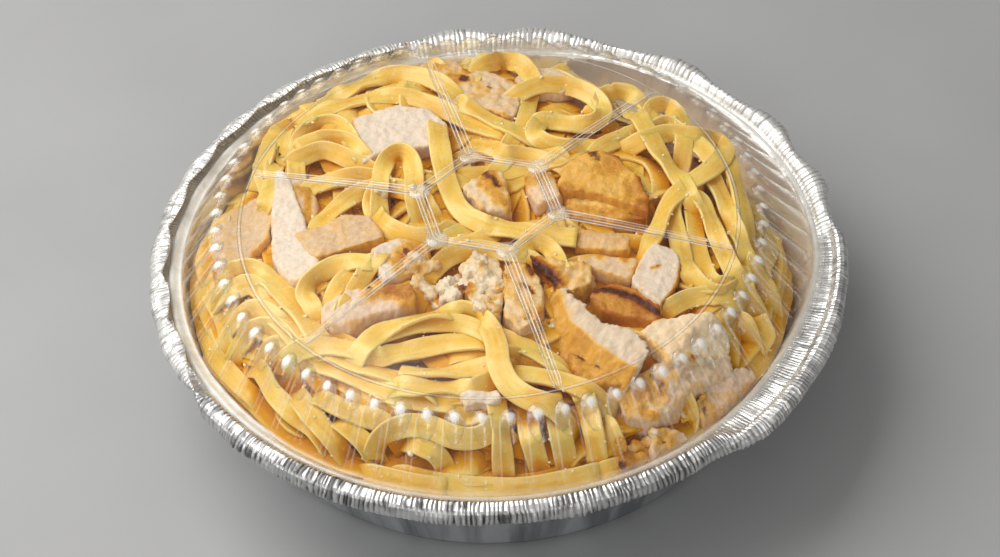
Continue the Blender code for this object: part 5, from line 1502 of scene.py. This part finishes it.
def top_strands():
    rnd = random.Random(909)
    group = Ribbons(SECTION)
    step = 1.3
    for number, (z, width, flags, xy) in enumerate(STRANDS):
        xy = np.array(xy, float)
        ends = ("s" in flags, "e" in flags)
        xy, outs = extend(xy, 11.0, rnd)
        pts = list(xy)
        if not ends[0]:
            pts = outs[0][::-1] + pts
        if not ends[1]:
            pts = pts + outs[1]
        line = cut_at(curve_through(np.array(pts), step), 101.4)
        r = np.hypot(line[:, 0], line[:, 1])
        line = line * np.minimum(1.0, 101.0 / r)[:, None]
        width = width * 1.04
        thick = rnd.uniform(1.25, 1.5)
        p, side, up = lay(line, step, width, thick, z, "view", rnd, ends, "d" in flags)
        p = keep_in(p, side, width)
        s = np.arange(len(p)) * step
        w = width * (1.0 + 0.04 * np.sin(s / 9.0 + rnd.uniform(0, 6)))
        # painted shade value: lower-lying strands a little darker
        deep = 0.08 + 0.08 * smooth01((53.5 - p[:, 2]) / 14.0)
        group.add(p, side, up, w, thick, rnd.random(), deep, cup=rnd.uniform(-0.35, 0.25))
        stamp(p, side, up, width, thick, step)
    print("top strands", len(STRANDS))
    return group


# ------------------------------------------------------------------ core
def build_core(mat):
    cols, rings = 180, []
    deg = np.arange(cols) * 360.0 / cols
    a = np.radians(deg)
    for r in np.concatenate([np.linspace(3.0, 96.0, 48)]):
        x, y = r * np.cos(a), r * np.sin(a)
        z = heap_base(x, y) - CORE_DROP
        ridge = 0.9 * np.sin(x * 0.55 + 1.3 * np.sin(y * 0.12)) * np.sin(y * 0.5 + np.sin(x * 0.1))
        rings.append(np.stack([x, y, z + ridge], 1))
    zt = np.minimum(rings[-1][:, 2] - 0.5, 39.5)
    r = pan_inner_r(zt) - 0.8
    rings.append(np.stack([r * np.cos(a), r * np.sin(a), zt], 1))
    for z in (6.0, 3.0):
        r = float(pan_inner_r(z)) - 0.9
        zz = np.minimum(z, zt - 1.0)
        rings.append(np.stack([r * np.cos(a), r * np.sin(a), zz], 1))
    rings.append(np.stack([85.0 * np.cos(a), 85.0 * np.sin(a), np.full(cols, 0.95)], 1))
    verts = np.concatenate(rings)
    idx = np.arange(len(verts)).reshape(len(rings), cols)
    q = []
    for k in range(len(rings) - 1):
        x1, x2 = idx[k], idx[k + 1]
        q.append(np.stack([x1, x2, np.roll(x2, -1), np.roll(x1, -1)], 1))
    verts = np.vstack([verts, [[0, 0, float(rings[0][:, 2].mean())]], [[0, 0, 0.95]]])
    top, low = len(verts) - 2, len(verts) - 1
    t = [(top, idx[0][j], idx[0][(j + 1) % cols]) for j in range(cols)]
    t += [(low, idx[-1][(j + 1) % cols], idx[-1][j]) for j in range(cols)]
    ob = mesh_object("sauce_bed", verts, np.concatenate(q), np.array(t), mat)
    tidy_normals(ob)
    return ob


# ------------------------------------------------------------------ chicken
def corner_cut(poly, keep=0.07):
    """Round an outline a little by cutting its corners, then once more, finer."""
    p = [np.array(v, float) for v in poly]
    for f in (keep, 0.25):
        q = []
        for k in range(len(p)):
            a, b = p[k], p[(k + 1) % len(p)]
            q += [a + (b - a) * f, b - (b - a) * f]
        p = q
    return np.array(p)


def ragged(poly, spacing, amount, seed):
    """An outline read off at an even spacing and roughened as a cut edge is."""
    p = np.vstack([poly, poly[:1]])
    at = np.concatenate([[0], np.cumsum(np.linalg.norm(np.diff(p, axis=0), axis=1))])
    n = max(12, int(at[-1] / spacing))
    s = np.arange(n) * at[-1] / n
    q = np.stack([np.interp(s, at, p[:, 0]), np.interp(s, at, p[:, 1])], 1)
    tg = np.roll(q, -1, 0) - np.roll(q, 1, 0)
    tg /= np.maximum(np.linalg.norm(tg, axis=1), 1e-6)[:, None]
    off = amount * wave_noise(s, (max(2, int(at[-1] / 11)), max(3, int(at[-1] / 5)), max(5, int(at[-1] / 2.6))), seed, at[-1])
    return q + np.stack([tg[:, 1], -tg[:, 0]], 1) * off[:, None]


def edge_distance(poly, xy):
    best = np.full(len(xy), 1e9)
    for k in range(len(poly)):
        a, b = poly[k], poly[(k + 1) % len(poly)]
        d = b - a
        t = np.clip(((xy - a) @ d) / max(d @ d, 1e-9), 0.0, 1.0)
        best = np.minimum(best, np.linalg.norm(xy - a - t[:, None] * d, axis=1))
    return best


def line_distance(path, pts):
    """Distance to a stroke, which weighs height less than plan distance."""
    w = np.array((1.0, 1.0, 0.7))
    best = np.full(len(pts), 1e9)
    path = np.array(path) * w
    q = pts * w
    for a, b in zip(path[:-1], path[1:]):
        d = b - a
        t = np.clip(((q - a) @ d) / max(d @ d, 1e-9), 0.0, 1.0)
        best = np.minimum(best, np.linalg.norm(q - a - t[:, None] * d, axis=1))
    return best


def build_meat(name, piece, mat, voxel=0.66):
    number = sum(ord(c) * (k + 7) for k, c in enumerate(name))
    rnd = random.Random(number)
    top = ragged(corner_cut(piece["top"]), 1.1, 0.12 + 0.55 * piece["shred"], number)
    c = np.array(piece["top"]).mean(0)
    sx, sy = piece["slope"]
    down = np.array(piece["down"], float)
    z0 = piece["z"]
    area2 = sum(top[k][0] * top[(k + 1) % len(top)][1] - top[(k + 1) % len(top)][0] * top[k][1] for k in range(len(top)))
    if area2 < 0:
        top = top[::-1]

    def plane(xy):
        return z0 + sx * (xy[:, 0] - c[0]) + sy * (xy[:, 1] - c[1])

    centre = top.mean(0)
    levels = ((0.0, 0.45), (0.035, 0.1), (0.1, 0.0), (0.5, -0.3), (0.85, 0.2), (1.0, 1.6))
    rings = []
    for f, inset in levels:
        d = top - centre
        ln = np.maximum(np.linalg.norm(d, axis=1), 1e-6)[:, None]
        xy = centre + d * (1.0 - inset / ln)
        z = plane(xy)
        r = np.column_stack([xy, z]) + down * f
        rings.append(r)
    verts = np.concatenate(rings + [np.array([[*centre, plane(centre[None])[0]]]), (rings[-1].mean(0))[None]])
    n = len(top)
    faces = []
    for k in range(len(levels) - 1):
        for j in range(n):
            j2 = (j + 1) % n
            faces.append((k * n + j, (k + 1) * n + j, (k + 1) * n + j2, k * n + j2))
    t, b = len(verts) - 2, len(verts) - 1
    for j in range(n):
        j2 = (j + 1) % n
        faces.append((t, j, j2))
        faces.append((b, (len(levels) - 1) * n + j2, (len(levels) - 1) * n + j))
    # under the lid and inside the wall
    r = np.hypot(verts[:, 0], verts[:, 1])
    wall = np.where(verts[:, 2] > WALL_Z - 0.2, 101.0, pan_inner_r(np.clip(verts[:, 2], 1, WALL_Z)) - 1.2)
    f = np.minimum(1.0, wall / np.maximum(r, 1e-6))
    verts[:, :2] *= f[:, None]
    verts[:, 2] = np.minimum(verts[:, 2], lid_limit(np.hypot(verts[:, 0], verts[:, 1]) + 0.6) - 0.4)
    verts[:, 2] = np.maximum(verts[:, 2], 2.0)
    mesh = bpy.data.meshes.new(name + "_rough")
    mesh.from_pydata([tuple(v * MM) for v in verts], [], faces)
    ob = bpy.data.objects.new(name + "_rough", mesh)
    bpy.context.scene.collection.objects.link(ob)
    mod = ob.modifiers.new("even", "REMESH")
    mod.mode = "VOXEL"
    mod.voxel_size = voxel * MM
    graph = bpy.context.evaluated_depsgraph_get()
    fine = bpy.data.meshes.new_from_object(ob.evaluated_get(graph))
    bpy.data.objects.remove(ob, do_unlink=True)
    bpy.data.meshes.remove(mesh)
    bm = bmesh.new()
    bm.from_mesh(fine)
    bmesh.ops.smooth_vert(bm, verts=bm.verts, factor=0.3, use_axis_x=True, use_axis_y=True, use_axis_z=True)
    bm.normal_update()
    shred = piece["shred"]
    seed = Vector((rnd.uniform(0, 50), rnd.uniform(0, 50), rnd.uniform(0, 50)))
    # fibres run from the cut face down into the piece
    ax_w = -down / np.linalg.norm(down)
    ax_u = np.cross(ax_w, (0.3, 1.0, 0.1))
    ax_u /= np.linalg.norm(ax_u)
    ax_v = np.cross(ax_w, ax_u)
    co = np.array([v.co[:] for v in bm.verts]) / MM
    no = np.array([v.normal[:] for v in bm.verts])
    along = np.column_stack([co @ ax_u, co @ ax_v, co @ ax_w])
    lift = np.zeros(len(co))
    crack = np.zeros(len(co))
    for k, p in enumerate(along):
        fib = noise.noise(Vector((p[0] * 0.40, p[1] * 0.40, p[2] * 0.09)) + seed)
        fine_fib = noise.noise(Vector((p[0] * 1.05, p[1] * 1.05, p[2] * 0.2)) + seed)
        lump = noise.noise(Vector((p[0] * 0.16, p[1] * 0.16, p[2] * 0.16)) + seed)
        tiny = noise.noise(Vector((p[0] * 0.62, p[1] * 0.62, p[2] * 0.62)) + seed)
        lift[k] = 0.55 * lump + (0.42 + 0.9 * shred) * fib + (0.16 + 0.4 * shred) * tiny + (0.22 + 0.3 * shred) * fine_fib
        crack[k] = fib
    co2 = co + no * lift[:, None]
    r = np.hypot(co2[:, 0], co2[:, 1])
    co2[:, 2] = np.minimum(co2[:, 2], lid_limit(r + 0.4) - 0.2)
    for v, p in zip(bm.verts, co2):
        v.co = Vector(p * MM)
    bm.to_mesh(fine)
    bm.free()
    # browning
    brown = np.full(len(co2), float(piece["brown"]))
    for fx, fy, fz, amount in piece["faces"]:
        d = np.array((fx, fy, fz), float)
        d /= np.linalg.norm(d)
        brown = np.maximum(brown, piece["brown"] + amount * smooth01(((no * d).sum(1) - 0.35) / 0.35))
    for x, y, z, rad, amount in piece["spots"]:
        d = np.linalg.norm((co2 - (x, y, z)) * (1, 1, 0.7), axis=1)
        brown = np.maximum(brown, amount * smooth01(1.25 - d / rad * 0.8))
    char = np.zeros(len(co2))
    for x, y, z, rad, amount in piece["chars"]:
        d = np.linalg.norm((co2 - (x, y, z)) * (1, 1, 0.7), axis=1)
        char = np.maximum(char, amount * smooth01(1.35 - d / rad * 0.9))
    skin = smooth01(1.0 - edge_distance(top, co2[:, :2]) / 1.5) * smooth01((no @ ax_w - 0.2) / 0.4)
    brown = brown + 0.25 * crack * shred + 0.10 * crack + skin * (0.10 + 0.35 * np.clip(crack + 0.1, 0, 1))
    for amount, width, burnt, path in piece["lines"]:
        near = amount * smooth01(1.45 - line_distance(path, co2) / width)
        if burnt:
            char = np.maximum(char, near)
            brown = np.maximum(brown, amount * smooth01(1.6 - line_distance(path, co2) / (width * 1.9)))
        else:
            brown = np.maximum(brown, near)
    base = np.array(lin(*piece["tint"]))
    fine.name = name
    for poly in fine.polygons:
        poly.use_smooth = True
    for key, vals in (("brown", brown), ("char", char)):
        fine.attributes.new(key, "FLOAT", "POINT").data.foreach_set("value", vals.astype(np.float32))
    grain = (along * (1.0, 1.0, 0.16) * MM).astype(np.float32)
    fine.attributes.new("grain", "FLOAT_VECTOR", "POINT").data.foreach_set("vector", grain.ravel())
    rgba = np.ones((len(co2), 4), np.float32)
    rgba[:, :3] = base
    fine.attributes.new("meat", "FLOAT_COLOR", "POINT").data.foreach_set("color", rgba.ravel())
    out = bpy.data.objects.new(name + "_meat", fine)
    bpy.context.scene.collection.objects.link(out)
    out.data.materials.clear()
    out.data.materials.append(mat)
    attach(out, "root")
    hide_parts(name[:10])
    i, j = cell(co2[:, 0], co2[:, 1])
    np.maximum.at(TOPS, (i, j), co2[:, 2])
    return out


# ------------------------------------------------------------------ crumbs and grains
def ball(level):
    bm = bmesh.new()
    bmesh.ops.create_icosphere(bm, subdivisions=level, radius=1.0)
    v = np.array([x.co[:] for x in bm.verts])
    t = np.array([[x.index for x in f.verts] for f in bm.faces])
    bm.free()
    return v, t


def build_crumbs(mat):
    """Torn shreds and crumbs of chicken: rough balls piled up, fused and roughened, in one piece."""
    rnd = random.Random(6021)
    v0, t0 = ball(2)
    vs, ts, base = [], [], 0
    centres, notes = [], []
    for x, y, spread_x, spread_y, count, lo, hi, brown in CRUMBS:
        for _ in range(count):
            ang, rad = rnd.uniform(0.0, 2 * math.pi), math.sqrt(rnd.random()) * 0.8
            cx, cy = x + rad * spread_x * math.cos(ang), y + rad * spread_y * math.sin(ang)
            near = max(1.0, math.hypot(cx, cy) / 96.0)
            cx, cy = cx / near, cy / near
            size = rnd.uniform(lo, hi) * 1.1
            scale = np.array((rnd.uniform(0.9, 1.4), rnd.uniform(0.7, 1.0), rnd.uniform(0.55, 0.8))) * size
            v = v0 * scale
            turn = Matrix.Rotation(rnd.uniform(0, 6.3), 3, "Z") @ Matrix.Rotation(rnd.uniform(-0.6, 0.6), 3, "X")
            z = float(look(TOPS, np.array([cx]), np.array([cy]))[0]) - size * 0.1
            v = v @ np.array(turn).T + (cx, cy, z)
            vs.append(v)
            ts.append(t0 + base)
            base += len(v)
            centres.append((cx, cy, z))
            notes.append((brown + rnd.uniform(-0.12, 0.12), rnd.uniform(0.0, 1.0)))
            i, j = cell(v[:, 0], v[:, 1])
            np.maximum.at(TOPS, (i, j), v[:, 2] - size * 0.55)
    mesh = bpy.data.meshes.new("crumbs_rough")
    mesh.from_pydata((np.concatenate(vs) * MM).tolist(), [], np.concatenate(ts).tolist())
    ob = bpy.data.objects.new("crumbs_rough", mesh)
    bpy.context.scene.collection.objects.link(ob)
    mod = ob.modifiers.new("even", "REMESH")
    mod.mode = "VOXEL"
    mod.voxel_size = 0.46 * MM
    fine = bpy.data.meshes.new_from_object(ob.evaluated_get(bpy.context.evaluated_depsgraph_get()))
    bpy.data.objects.remove(ob, do_unlink=True)
    bpy.data.meshes.remove(mesh)
    bm = bmesh.new()
    bm.from_mesh(fine)
    bmesh.ops.smooth_vert(bm, verts=bm.verts, factor=0.5, use_axis_x=True, use_axis_y=True, use_axis_z=True)
    bm.normal_update()
    co = np.array([v.co[:] for v in bm.verts]) / MM
    no = np.array([v.normal[:] for v in bm.verts])
    push = np.array([0.75 * noise.noise(Vector(q * 0.42)) + 0.5 * noise.noise(Vector(q * 0.95)) + 0.3 * noise.noise(Vector(q * 2.1))
                     for q in co])
    co2 = co + no * push[:, None]
    co2[:, 2] = np.minimum(co2[:, 2], lid_limit(np.hypot(co2[:, 0], co2[:, 1]) + 0.4) - 0.2)
    for v, q in zip(bm.verts, co2):
        v.co = Vector(q * MM)
    bm.to_mesh(fine)
    bm.free()
    centres, notes = np.array(centres), np.array(notes)
    near = np.array([np.argmin(((centres - q) ** 2).sum(1)) for q in co])
    patch = np.array([noise.noise(Vector(q * 0.22) + Vector((7.0, 3.0, 1.0))) for q in co])
    brown = notes[near, 0] + 0.5 * patch + 0.25 * push
    char = np.clip(patch * 1.6 - 0.55, 0.0, 0.7) * (notes[near, 0] > 0.3)
    tones = np.array([lin(236, 214, 176), lin(244, 230, 204)])
    tint = tones[0] + (tones[1] - tones[0]) * notes[near, 1][:, None]
    fine.name = "chicken_crumbs"
    for poly in fine.polygons:
        poly.use_smooth = True
    for key, vals in (("brown", brown), ("char", char)):
        fine.attributes.new(key, "FLOAT", "POINT").data.foreach_set("value", vals.astype(np.float32))
    fine.attributes.new("grain", "FLOAT_VECTOR", "POINT").data.foreach_set(
        "vector", (co * MM * (1.0, 1.0, 0.5)).astype(np.float32).ravel())
    rgba = np.ones((len(co), 4), np.float32)
    rgba[:, :3] = tint
    fine.attributes.new("meat", "FLOAT_COLOR", "POINT").data.foreach_set("color", rgba.ravel())
    out = bpy.data.objects.new("chicken_crumbs", fine)
    bpy.context.scene.collection.objects.link(out)
    out.data.materials.clear()
    out.data.materials.append(mat)
    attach(out, "root")
    i, j = cell(co2[:, 0], co2[:, 1])
    np.maximum.at(TOPS, (i, j), co2[:, 2])
    return out


def build_grains(mat, groups):
    """Small curds of sauce and cheese clinging to the strands, joined into one piece."""
    rnd = np.random.default_rng(3307)
    v0, t0 = ball(2)
    vs, ts, base = [], [], 0
    for group, count in groups:
        pts = np.concatenate([v.reshape(-1, 3) for v in group.v])
        high = look(TOPS, pts[:, 0], pts[:, 1])
        pts = pts[pts[:, 2] > high - 1.2]
        for k in rnd.integers(0, len(pts), count):
            size = rnd.uniform(0.28, 0.62) * (1.5 if rnd.random() < 0.08 else 1.0)
            wob = 1.0 + 0.22 * np.sin(v0 @ rnd.uniform(-4, 4, (3, 3)) + rnd.uniform(0, 6, 3)).sum(1) / 2
            v = v0 * wob[:, None] * size * rnd.uniform(0.7, 1.3, 3) * (1, 1, 0.55) + pts[k] + rnd.uniform(-0.5, 0.5, 3) * (1, 1, 0)
            v[:, 2] = np.minimum(v[:, 2], lid_limit(np.hypot(v[:, 0], v[:, 1]) + 0.4) - 0.15)
            vs.append(v)
            ts.append(t0 + base)
            base += len(v)
    return mesh_object("sauce_grains", np.concatenate(vs), [], np.concatenate(ts), mat)


def grain_material():
    m = Nodes("cheese_grains")
    tone = m.noise(260.0, 3.0)
    fine = m.noise(2400.0, 3.0, 0.6)
    c = m.mix(m.span(tone, 0.36, 0.64), lin(250, 236, 198), lin(246, 220, 150))
    p = m.principled(Base_Color=c, Roughness=m.span(fine, 0.3, 0.7, 0.3, 0.5), Normal=m.bump(fine, 0.4, 0.1),
                     Subsurface_Weight=0.3, Subsurface_Radius=(1.0, 0.7, 0.4), Subsurface_Scale=0.0012)
    m.link(p.outputs[0], m.out.inputs["Surface"])
    return m.mat


# ------------------------------------------------------------------ scene
pasta_mat = pasta_material("fettuccine")
sauce_mat = sauce_material()
meat_mat = meat_material()
foil_mat = foil_material()
lid_mat = lid_material()

pan = build_pan(foil_mat)
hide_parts("foil_pan")
lid = build_lid(lid_mat)
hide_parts("dome_lid")
core = build_core(sauce_mat)
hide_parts("pasta_bed")
low = under_strands()
for name in sorted(MEAT):
    build_meat(name, MEAT[name], meat_mat)
high = top_strands()
build_crumbs(meat_mat)
build_grains(grain_material(), ((high, 300), (low, 120)))
around = soften(TOPS)
print("visible stretches of the under strands", low.drop_buried(TOPS, 2.2))
low_ob = low.make("noodles_under", pasta_mat, around)
high_ob = high.make("noodles_top", pasta_mat, around)
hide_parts("pasta_bed")
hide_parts("pasta_bed")

# floor, light and camera
floor_mesh = bpy.data.meshes.new("floor")
floor_mesh.from_pydata([(-4, -4, 0), (4, -4, 0), (4, 4, 0), (-4, 4, 0)], [], [(0, 1, 2, 3)])
floor = bpy.data.objects.new("floor", floor_mesh)
bpy.context.scene.collection.objects.link(floor)
fm = Nodes("pale_floor")
fn = fm.noise(14.0, 2.0)
fp = fm.principled(Base_Color=fm.mix(fm.span(fn, 0.3, 0.7), (0.362, 0.365, 0.367), (0.385, 0.388, 0.39)), Roughness=0.55)
fm.link(fp.outputs[0], fm.out.inputs["Surface"])
floor.data.materials.append(fm.mat)
floor.location.z = -0.0003


def area_light(name, place, target, size, power, color=(1, 1, 1)):
    data = bpy.data.lights.new(name, "AREA")
    data.shape = "RECTANGLE"
    data.size, data.size_y = size
    data.energy = power
    data.color = color
    ob = bpy.data.objects.new(name, data)
    bpy.context.scene.collection.objects.link(ob)
    ob.location = place
    ob.rotation_euler = (Vector(target) - Vector(place)).to_track_quat("-Z", "Y").to_euler()
    return ob


area_light("key", (-0.50, 0.26, 0.84), (0.0, 0.0, 0.03), (0.78, 0.78), 8.8, (1.0, 0.985, 0.95))
area_light("side", (-1.15, -0.30, 0.62), (0.0, 0.0, 0.03), (0.5, 0.5), 1.9)
area_light("fill", (-0.15, -1.05, 0.75), (0.0, 0.0, 0.03), (0.9, 0.5), 2.0)
# a room that is bright overhead and in front, dim at eye level and at the rear
world = bpy.data.worlds.new("studio")
world.use_nodes = True
bpy.context.scene.world = world
wt = world.node_tree
coord = wt.nodes.new("ShaderNodeTexCoord")
split = wt.nodes.new("ShaderNodeVectorMath")
split.operation = "DOT_PRODUCT"
split.inputs[1].default_value = (-0.22, -0.40, 0.89)
band = wt.nodes.new("ShaderNodeMapRange")
band.interpolation_type = "SMOOTHSTEP"
band.inputs["From Min"].default_value = -0.05
band.inputs["From Max"].default_value = 0.95
band.inputs["To Min"].default_value = 0.08
band.inputs["To Max"].default_value = 0.52
wt.links.new(coord.outputs["Generated"], split.inputs[0])
wt.links.new(split.outputs["Value"], band.inputs["Value"])
wt.links.new(band.outputs["Result"], wt.nodes["Background"].inputs["Strength"])
wt.nodes["Background"].inputs["Color"].default_value = (1.0, 0.99, 0.975, 1.0)

elev, roll_cam = math.radians(45.558), math.radians(-2.467)
back = Vector((0.0, -math.cos(elev), math.sin(elev)))
right = Vector((1.0, 0.0, 0.0))
up = back.cross(right)
c, s = math.cos(roll_cam), math.sin(roll_cam)
rows = (right * c + up * s, -right * s + up * c, back)
cam_data = bpy.data.cameras.new("view")
cam = bpy.data.objects.new("view", cam_data)
bpy.context.scene.collection.objects.link(cam)
m4 = Matrix.Identity(4)
for k in range(3):
    for j in range(3):
        m4[j][k] = rows[k][j]
m4.translation = Vector(EYE * MM)
cam.matrix_world = m4
cam_data.sensor_width = 36.0
cam_data.lens = 75.17
cam_data.clip_start = 0.01
bpy.context.scene.camera = cam
bpy.context.scene.view_settings.view_transform = "Standard"
bpy.context.scene.cycles.transparent_max_bounces = 24

total = 0
for ob in bpy.data.objects:
    if ob.type == "MESH" and not ob.hide_render and ob is not floor:
        ob.data.calc_loop_triangles()
        total += len(ob.data.loop_triangles)
        print("   ", ob.name, len(ob.data.loop_triangles))
print("triangles in all", total)
